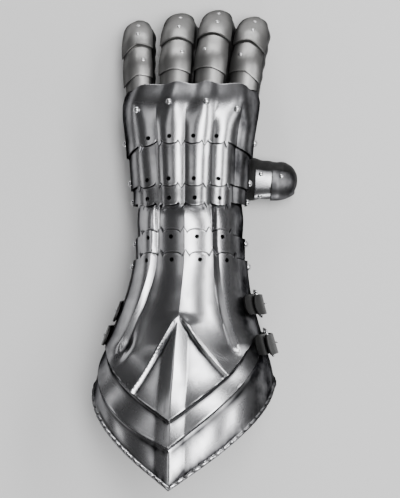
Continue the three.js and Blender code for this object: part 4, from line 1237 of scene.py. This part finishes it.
class FingerPlate(Piece):
    """A short plate over a finger or the thumb, its rear end standing over the plate behind it."""

    finish = Finish.SATIN
    columns, rows, cap_rows, cap_ease = 45, 26, 34, 1.5  # a tip's rows close up towards its end
    weld, edge, reach = 0.12, 0.25, 6.0
    dull = 0.0  # painted shade all over, darker and rougher
    side, side_dull = (0.45, 1.0), 0.8  # and painted shade towards its sides

    def __init__(self, finger: Finger, kind: str, rear: float, front: float, stands: float, *domes: Triple):
        """Args: the finger, which plate, its ends, its rear end's height, and its rivets' places."""
        node = f"{finger.name}_{kind}_plate"
        super().__init__(f"{SHOWN}{node}", Body.HAND, [node])
        self.finger, self.rear, self.front, self.stands, self.domes = finger, rear, front, stands, domes

    def shape(self) -> Solid:
        """Returns: the plate with its rivets."""
        finger = self.finger
        across = np.linspace(-1, 1, self.columns)
        capped = self.front >= 1
        run = np.linspace(0, 1, self.cap_rows if capped else self.rows)
        run = 1 - (1 - run) ** self.cap_ease if capped else run
        back = self.rear - finger.dip * across**2 - np.maximum(0, finger.skew * across)
        part = lerp(back[None, :], self.front, run[:, None])
        lift = self.stands * (1 - smoothstep(run, *STAND))[:, None] + FINGER_STEP
        turn = finger.roll + across * finger.half
        made = grid(self.name, finger_point(finger, part, turn[None, :], lift))
        # painted shade, darker and rougher steel: all over where set, and towards the plate's sides
        dull = np.maximum(self.dull, smoothstep(np.abs(across), *self.side) * self.side_dull)
        paint(made, "crease", np.broadcast_to(dull, part.shape))
        if capped:
            weld(made, self.weld)
        sheet(made, STEEL, self.edge)
        heads = [self.head(*place) for place in self.domes]
        for head in heads:
            paint(head, "shine", np.ones(len(head.data.vertices)))
        made = join(made, *heads) if heads else made
        return smooth(made)

    def head(self, part: float, angle: float, lift: float) -> Solid:
        """Args: a rivet's place and its plate's height. Returns: its head."""
        turn = angle + self.finger.roll
        point = finger_point(self.finger, part, turn, lift + FINGER_STEP)
        out = finger_point(self.finger, part, turn, lift + self.reach) - point
        return dome(point, normalized(out), *PLATE_HEAD)


TUBE_START, TUBE_WELD = (0.3, 0.2, 1.0), 0.01


def tube(name: str, path: Array, radius: Array, closed: bool, sides: int = 14) -> Solid:
    """Args: a name, a path in mm, its radius at each point, whether it meets itself. Returns: a round bar."""
    if closed:
        path = np.concatenate([path, path[:1]])
        radius = np.concatenate([radius, radius[:1]])
        ahead = np.roll(path[:-1], -1, axis=0) - np.roll(path[:-1], 1, axis=0)
        ahead = np.concatenate([ahead, ahead[:1]])
    else:
        ahead = np.gradient(path, axis=0)
    ahead = normalized(ahead)
    up = np.zeros_like(path)
    normal = np.cross(ahead[0], TUBE_START)
    for i, way in enumerate(ahead):
        normal = normal - way * float(normal @ way)
        normal = normal / np.linalg.norm(normal)
        up[i] = normal
    side = np.cross(ahead, up)
    turn = np.linspace(0, 2 * np.pi, sides + 1)
    ring = up[:, None, :] * np.cos(turn)[None, :, None] + side[:, None, :] * np.sin(turn)[None, :, None]
    points = path[:, None, :] + ring * np.asarray(radius)[:, None, None]
    return weld(grid(name, points), TUBE_WELD, sides + 2)


# ---- the glove
class Glove(Piece):
    """The leather glove, hollow from the wrist into the fingers and the thumb."""

    finish = Finish.GLOVE
    voxel = 1.3
    wrist, knuckle, inside = 43.6, 126.0, 3
    rows, columns, cap_rows, finger_columns = 60, 121, 18, 49
    puff, puff_run, puff_from, puff_share = 0.45, 4.6, (50, 70), 0.35  # folds across the hand
    fold, fold_run, fold_in, fold_out = 0.35, 34, (0.05, 0.2), (0.8, 0.95)  # folds across the fingers
    finger_root, cap, cap_ease = -0.12, 0.2, 1.6  # along a finger: where it starts, its rounded end
    weld, sharp = 0.02, 60

    def __init__(self) -> None:
        """The glove stands for all its CAD nodes."""
        digits = [*(finger.name for finger in FINGERS), "thumb", "hand"]
        super().__init__(SHOWN + "glove", Body.HAND, [f"glove_{name}" for name in digits])

    def hand(self) -> Solid:
        """Returns: the closed form of the hand."""
        y = np.concatenate([[self.wrist - self.inside], np.linspace(self.wrist, self.knuckle, self.rows)])
        angle = np.linspace(-180, 180, self.columns)
        puff = self.puff * np.sin(y / self.puff_run) * smoothstep(y, *self.puff_from)
        lift = glove_lift(y[:, None], angle[None, :]) + (puff * self.puff_share)[:, None]
        return self.closed("hand", arm_point(y[:, None], angle[None, :], lift))

    def digit(self, finger: Finger, root: float) -> Solid:
        """Args: a finger and where it starts inside the hand. Returns: its closed form."""
        end = (1 - np.linspace(0, 1, self.cap_rows)[1:]) ** self.cap_ease
        part = np.concatenate([np.linspace(root, 1 - self.cap, self.rows), 1 - self.cap * end])
        angle = np.linspace(-180, 180, self.finger_columns)
        fold = self.fold * np.sin(part * self.fold_run)
        fold = fold * smoothstep(part, *self.fold_in) * (1 - smoothstep(part, *self.fold_out))
        return self.closed(finger.name, finger_point(finger, part[:, None], angle[None, :], fold[:, None]))

    def closed(self, name: str, points: Array) -> Solid:
        """Args: a name and points round a form. Returns: the form with its ends closed."""
        return weld(grid(name, points), self.weld, 0)

    def shape(self) -> Solid:
        """Returns: one leather wall, open at the wrist."""
        digits = [self.digit(finger, self.finger_root) for finger in FINGERS]
        made = join(self.hand(), *digits, self.digit(THUMB, 0.0))
        modify(made, "REMESH", mode="VOXEL", voxel_size=self.voxel * MM, use_smooth_shade=True)
        modify(made, "SMOOTH", factor=0.5, iterations=4)
        select(made)
        bpy.ops.object.mode_set(mode="EDIT")
        bpy.ops.mesh.select_all(action="SELECT")
        bpy.ops.mesh.bisect(plane_co=at_place((0, self.wrist, 0)), plane_no=(0, 1, 0), clear_inner=True)
        bpy.ops.object.mode_set(mode="OBJECT")
        modify(made, "SOLIDIFY", thickness=LEATHER * MM, offset=-1.0, use_even_offset=False)
        return smooth(made, self.sharp)


# ---- straps and buckles
STRAP_REST = 1.0  # between a strap and the cuff
STRAP_SAG, STRAP_UNDER = 1.2, (0.14, 0.38, 0.62, 0.86)  # below the cuff: its sag, and where it is set
STRAP_END, STRAP_ROUND = 6, 0.98  # rows of its rounded ends, and how round
STRAP_RIVET, TAB_RIVET = (-80, 0.025), (62, 1)  # angle and place along
UNDER_STRAP = [(share, turn) for share in (-0.55, -0.3, 0, 0.3, 0.55) for turn in (-5, 0, 5)]


@dataclass(frozen=True)
class StrapLine:
    """A strap's name and its place along the cuff at each side."""

    name: str
    little_y: float
    thumb_y: float


@dataclass(frozen=True)
class BuckleSizes:
    """A buckle: its frame's rod, overhang, end bars' angles and height, then its tongue and collar."""

    rod: float = 1.9
    overhang: float = 2.4
    upper: float = 84.0
    lower: float = 106.0
    lift: float = 3.4
    tongue_angle: float = 91.0
    tongue_lift: float = 8.9
    tongue_root: float = 0.85
    tongue_tip: float = 0.5
    tongue_bow: float = 0.9
    collar: float = 1.35
    collar_half: float = 0.14
    corner: float = 2.6


BUCKLE = BuckleSizes()
STRAP_LINES = (StrapLine("front", -44.0, -38.0), StrapLine("rear", -62.0, -68.0))
OVER_LITTLE = ((-71, 0, 0), (-80, 0, 0.025), (-89, 0, 0.05), (-104, 0, 0.1), (-118, 0, 0.16), (-133, 0, 0.22))
OVER_THUMB = (
    *((133, 0, 0.78), (119, 0, 0.84), (111, 0, 0.94), (103, 0, 1)),
    *((91, 5.6, 1), (79, 5.6, 1), (67, 3.2, 1)),
)
TAB_STOPS = ((55, 0, 1), (62, 0, 1), (70, 0, 1), (79, 0, 1), (88, 0, 1))


def on_cuff(y: Array, angle: Array, lift: Array, middle: Array) -> Array:
    """Args: places, angles, height, the strap's middle. Returns: points clear of the cuff's relief."""
    y, angle, lift, middle = spread(y, angle, lift, middle)
    lifts = [lame_lift(CUFF, middle + share * STRAP_WIDTH, angle + turn) for share, turn in UNDER_STRAP]
    return arm_point(y, angle, np.max(lifts, axis=0) + STEEL + STRAP_REST + lift)


def strap_rows(line: StrapLine, stops: Sequence[Triple], across: Array) -> Array:
    """Args: a strap, its stops (angle, lift, place) and offsets across it. Returns: points of its outside."""
    angle, lift, place = (np.array(column, float) for column in zip(*stops))
    middle = lerp(line.little_y, line.thumb_y, place)
    y = middle[:, None] + across[None, :]
    return on_cuff(y, angle[:, None], (lift + STRAP_THICK)[:, None], middle[:, None])


def eased(points: Array, steps: int) -> Array:
    """Args: rows of points and steps between two. Returns: the rows with smooth ones between them."""
    count = len(points)
    keys = np.arange(count)
    place = np.linspace(0, count - 1, (count - 1) * steps + 1)
    i = np.minimum(place.astype(int), count - 2)
    t = (place - i)[:, None, None]
    slopes = np.gradient(points, keys, axis=0)
    a, b = points[i], points[i + 1]
    return (
        a * (1 + 2 * t) * (1 - t) ** 2
        + b * t * t * (3 - 2 * t)
        + slopes[i] * t * (1 - t) ** 2
        - slopes[i + 1] * t * t * (1 - t)
    )


class Strap(Piece):
    """A leather strap or tab against the cuff, with the rivet that holds it."""

    finish = Finish.STRAP
    columns, steps, edge, edge_steps, sharp = 17, 8, 0.45, 3, 40

    def __init__(self, line: StrapLine, tab: bool) -> None:
        """Args: the strap's line, and whether this is the short tab that holds the buckle."""
        kind = "tab" if tab else "strap"
        super().__init__(f"{SHOWN}{kind}_{line.name}", Body.CUFF, [f"{kind}_{line.name}"])
        self.line = line
        self.tab = tab

    def path(self, across: Array) -> Array:
        """Args: offsets across the strap. Returns: points of its outer face by row."""
        if self.tab:
            return strap_rows(self.line, TAB_STOPS, across)
        near = strap_rows(self.line, OVER_LITTLE, across)
        far = strap_rows(self.line, OVER_THUMB, across)
        shares = np.array(STRAP_UNDER)
        under = near[-1][None] + (far[0] - near[-1])[None] * shares[:, None, None]
        under[..., 2] -= (STRAP_SAG * np.sin(np.pi * shares))[:, None]
        return np.concatenate([near, under, far])

    def shape(self) -> Solid:
        """Returns: the strap, its ends rounded, with its rivet's head."""
        half = STRAP_WIDTH / 2
        across = np.linspace(-half, half, self.columns)
        points = eased(self.path(across), self.steps)
        round_off = 0.5 * (1 - np.sqrt(np.maximum(0, 1 - (across / half) ** 2 * STRAP_ROUND)))
        for end, way in ((0, 1), (-1, -1)):
            step = normalized(points[end] - points[end + way])
            for k in range(STRAP_END):
                points[end + way * k] -= step * (round_off * half * (1 - k / STRAP_END))[:, None]
        made = grid(self.name, points)
        sheet(made, STRAP_THICK, self.edge, self.edge_steps)
        angle, place = TAB_RIVET if self.tab else STRAP_RIVET
        y = self.line.thumb_y if self.tab else self.line.little_y
        stops = ((angle, 0, place), (angle + 1, 0, place))
        seat = strap_rows(self.line, stops, np.array([-1.0, 0.0, 1.0]))[0][1]
        head = dome(seat, arm_normal(y, angle), *PLATE_HEAD)
        head.data.materials.append(Finish.RIVET.material)
        made.data.materials.append(self.finish.material)
        return smooth(join(made, head), self.sharp)


class Buckle(Piece):
    """A rectangular buckle of round rod, its tongue lying over the strap."""

    finish = Finish.RIVET
    steps, tongue_steps, sharp = 8, 18, 50

    def __init__(self, line: StrapLine) -> None:
        """Args: the strap that it fastens."""
        super().__init__(f"{SHOWN}buckle_{line.name}", Body.CUFF, [f"buckle_{line.name}"])
        self.line = line

    def place(self, side: float, angle: float, lift: float) -> Array:
        """Args: -1 to 1 across, an angle, a height. Returns: the point."""
        y = self.line.thumb_y
        return on_cuff(y + side * (STRAP_WIDTH / 2 + BUCKLE.overhang), angle, lift, y)

    def shape(self) -> Solid:
        """Returns: frame and tongue."""
        upper, lower, lift = BUCKLE.upper, BUCKLE.lower, BUCKLE.lift
        turns = ((-1, upper), (1, upper), (1, lower), (-1, lower))
        corners = [self.place(side, turn, lift) for side, turn in turns]
        path = []
        for i, corner in enumerate(corners):
            before, after = corners[i - 1], corners[(i + 1) % 4]
            start = corner + normalized(before - corner) * BUCKLE.corner
            end = corner + normalized(after - corner) * BUCKLE.corner
            for t in np.linspace(0, 1, self.steps):
                path.append(start * (1 - t) ** 2 + corner * 2 * t * (1 - t) + end * t * t)
        frame_bar = tube(self.name, np.array(path), np.full(len(path), BUCKLE.rod / 2), True)
        root, tip = self.place(0, lower, lift), self.place(0, BUCKLE.tongue_angle, BUCKLE.tongue_lift)
        t = np.linspace(0, 1, self.tongue_steps)[:, None]
        out = arm_normal(self.line.thumb_y, (upper + lower) / 2 + 3)
        line = root + (tip - root) * t + out * (BUCKLE.tongue_bow * np.sin(np.pi * t))
        tongue = tube("tongue", line, lerp(BUCKLE.tongue_root, BUCKLE.tongue_tip, t[:, 0]), False)
        ends = np.linspace(-BUCKLE.collar_half, BUCKLE.collar_half, self.steps)
        around = np.array([self.place(side, lower, lift) for side in ends])
        collar = tube("collar", around, np.full(len(ends), BUCKLE.collar), False)
        return smooth(join(frame_bar, tongue, collar), self.sharp)


# ---- the studio
@dataclass(frozen=True)
class Light:
    """A soft light: name, place, length and width in metres, power in watts."""

    name: str
    place: Triple
    length: float
    width: float
    power: float


LIGHTS = (
    Light("key", (0.40, 0.10, 1.46), 1.5, 0.4, 20.0),
    Light("side", (1.02, 0.20, 1.05), 1.3, 0.22, 8.0),
    Light("left", (-0.60, 0.0, 1.38), 1.3, 0.42, 1.5),
    Light("far_left", (-1.45, 0.0, 0.60), 1.2, 0.25, 1.2),
    Light("front", (0.10, 1.60, 0.55), 1.2, 0.25, 13.0),
    Light("back", (0.10, -1.60, 0.55), 1.2, 0.25, 13.0),
)
FLOOR, FLOOR_ROUGH, FLOOR_SIZE = (0.90, 0.90, 0.90), 0.8, 6.0
ROOM = (0.05, 0.05, 0.051, 1.0)
CAMERA_PLACE, CAMERA_AIM = (75.0, 2.25, 1000.0), (0.004, -0.008, 0.045)
LENS, SENSOR = 89.0, 36.0


class Studio:
    """A pale floor, long soft lights from above, both sides and both ends, a dim room, the camera."""

    centre = Vector((0.0, 0.0, 0.045))

    def floor(self) -> None:
        """Adds the floor."""
        made = add(bpy.ops.mesh.primitive_plane_add, "floor", size=FLOOR_SIZE)
        shader = Shader("pale_floor")
        shader.feed(Base_Color=FLOOR, Roughness=FLOOR_ROUGH, Metallic=0.0)
        made.data.materials.append(shader.material)

    def light(self, light: Light) -> None:
        """Args: a light. Adds it, aimed at the gauntlet."""
        made = add(bpy.ops.object.light_add, light.name, type="AREA", location=light.place)
        made.data.shape = "RECTANGLE"
        made.data.size, made.data.size_y, made.data.energy = light.length, light.width, light.power
        made.rotation_euler = (self.centre - Vector(light.place)).to_track_quat("-Z", "Y").to_euler()

    def surroundings(self) -> None:
        """Sets the world: a dim room."""
        world = bpy.data.worlds.new("room")
        world.use_nodes = True
        world.node_tree.nodes["Background"].inputs["Color"].default_value = ROOM
        bpy.context.scene.world = world

    def camera(self) -> None:
        """Adds the camera: high above the back of the hand, a little to the thumb side."""
        place, aim = Vector(at_place(CAMERA_PLACE)), Vector(CAMERA_AIM)
        made = add(bpy.ops.object.camera_add, "camera", location=place)
        made.data.sensor_width = SENSOR
        made.data.lens = LENS
        back = (place - aim).normalized()
        right = Vector((0.0, 1.0, 0.0)).cross(back).normalized()
        made.rotation_euler = Matrix((right, back.cross(right), back)).transposed().to_euler()
        bpy.context.scene.camera = made

    def build(self) -> None:
        """Adds everything of the studio."""
        self.floor()
        for light in LIGHTS:
            self.light(light)
        self.surroundings()
        self.camera()


# ---- all of it
PROXIMAL_REAR = 0.035
# rivets of the finger plates: place in front of the plate's rear end, angle, height in finger steps
MIDDLE_HEAD, TIP_HEADS = (0.17, 20.0, 0.5), ((0.12, 4.0, 0.85), (0.26, 4.0, 0.0))
# rivets of the thumb plates: place along the thumb, angle, height
THUMB_BASE_HEADS, THUMB_TIP_HEAD = ((0.5, 32.0, 0.0), (0.5, -32.0, 0.0)), (0.76, -28.0, FINGER_STEP)


def finger_pieces() -> list[Piece]:
    """Returns: the finger and thumb plates."""
    out: list[Piece] = []
    step = FINGER_STEP
    for finger in FINGERS:
        plain = replace(finger, skew=0.0, dip=0.0)
        middle, last, over = finger.middle, finger.last, finger.overlap
        heads = [(last + ahead, turn, step * share) for ahead, turn, share in TIP_HEADS]
        ahead, turn, share = MIDDLE_HEAD
        head = (middle + ahead, -turn if finger.name in ("middle", "index") else turn, step * share)
        out += [
            FingerPlate(plain, "proximal", PROXIMAL_REAR, middle + over, 0.0),
            FingerPlate(finger, "middle", middle, last + over, step, head),
            FingerPlate(finger, "tip", last, 1.0, step, *heads),
        ]
    base = FingerPlate(THUMB, "base", THUMB.middle, THUMB.last + THUMB.overlap, 0.0, *THUMB_BASE_HEADS)
    tip = FingerPlate(THUMB, "tip", THUMB.last, THUMB_END, step, THUMB_TIP_HEAD)
    base.finish = tip.finish = Finish.POLISHED
    # the thumb's tip plate gets painted shade all over
    tip.dull = THUMB_TIP_SHADE
    return out + [base, tip]


def rivet_pieces() -> list[Piece]:
    """Returns: the rivets that the plates turn on and those over the knuckles."""
    out: list[Piece] = []
    for joint in JOINTS:
        for side, turn in (("thumb", 90.0), ("little", -90.0)):
            node = f"rivet_{joint.name}_{side}"
            out.append(Rivet(node, joint.outer.body, joint.top(turn), PIVOT, joint.grip(turn)))
    for knuckle in KNUCKLES:
        out.append(Rivet(knuckle.name, Body.HAND, knuckle.top(), KNUCKLE_RIVET, knuckle.grip))
    return out


def main() -> None:
    """Builds the glove, the plates, the rivets, the straps and the studio, in that order."""
    logging.basicConfig(level=logging.INFO, format="%(message)s")
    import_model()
    pieces: list[Piece] = [Glove()]
    pieces += [CuffPlate(lame) if lame is CUFF else LamePlate(lame) for lame in LAMES]
    pieces += finger_pieces() + rivet_pieces()
    for line in STRAP_LINES:
        pieces += [Strap(line, tab=False), Strap(line, tab=True), Buckle(line)]
    for piece in pieces:
        piece.build()
    Studio().build()


if __name__ == "__main__":
    main()
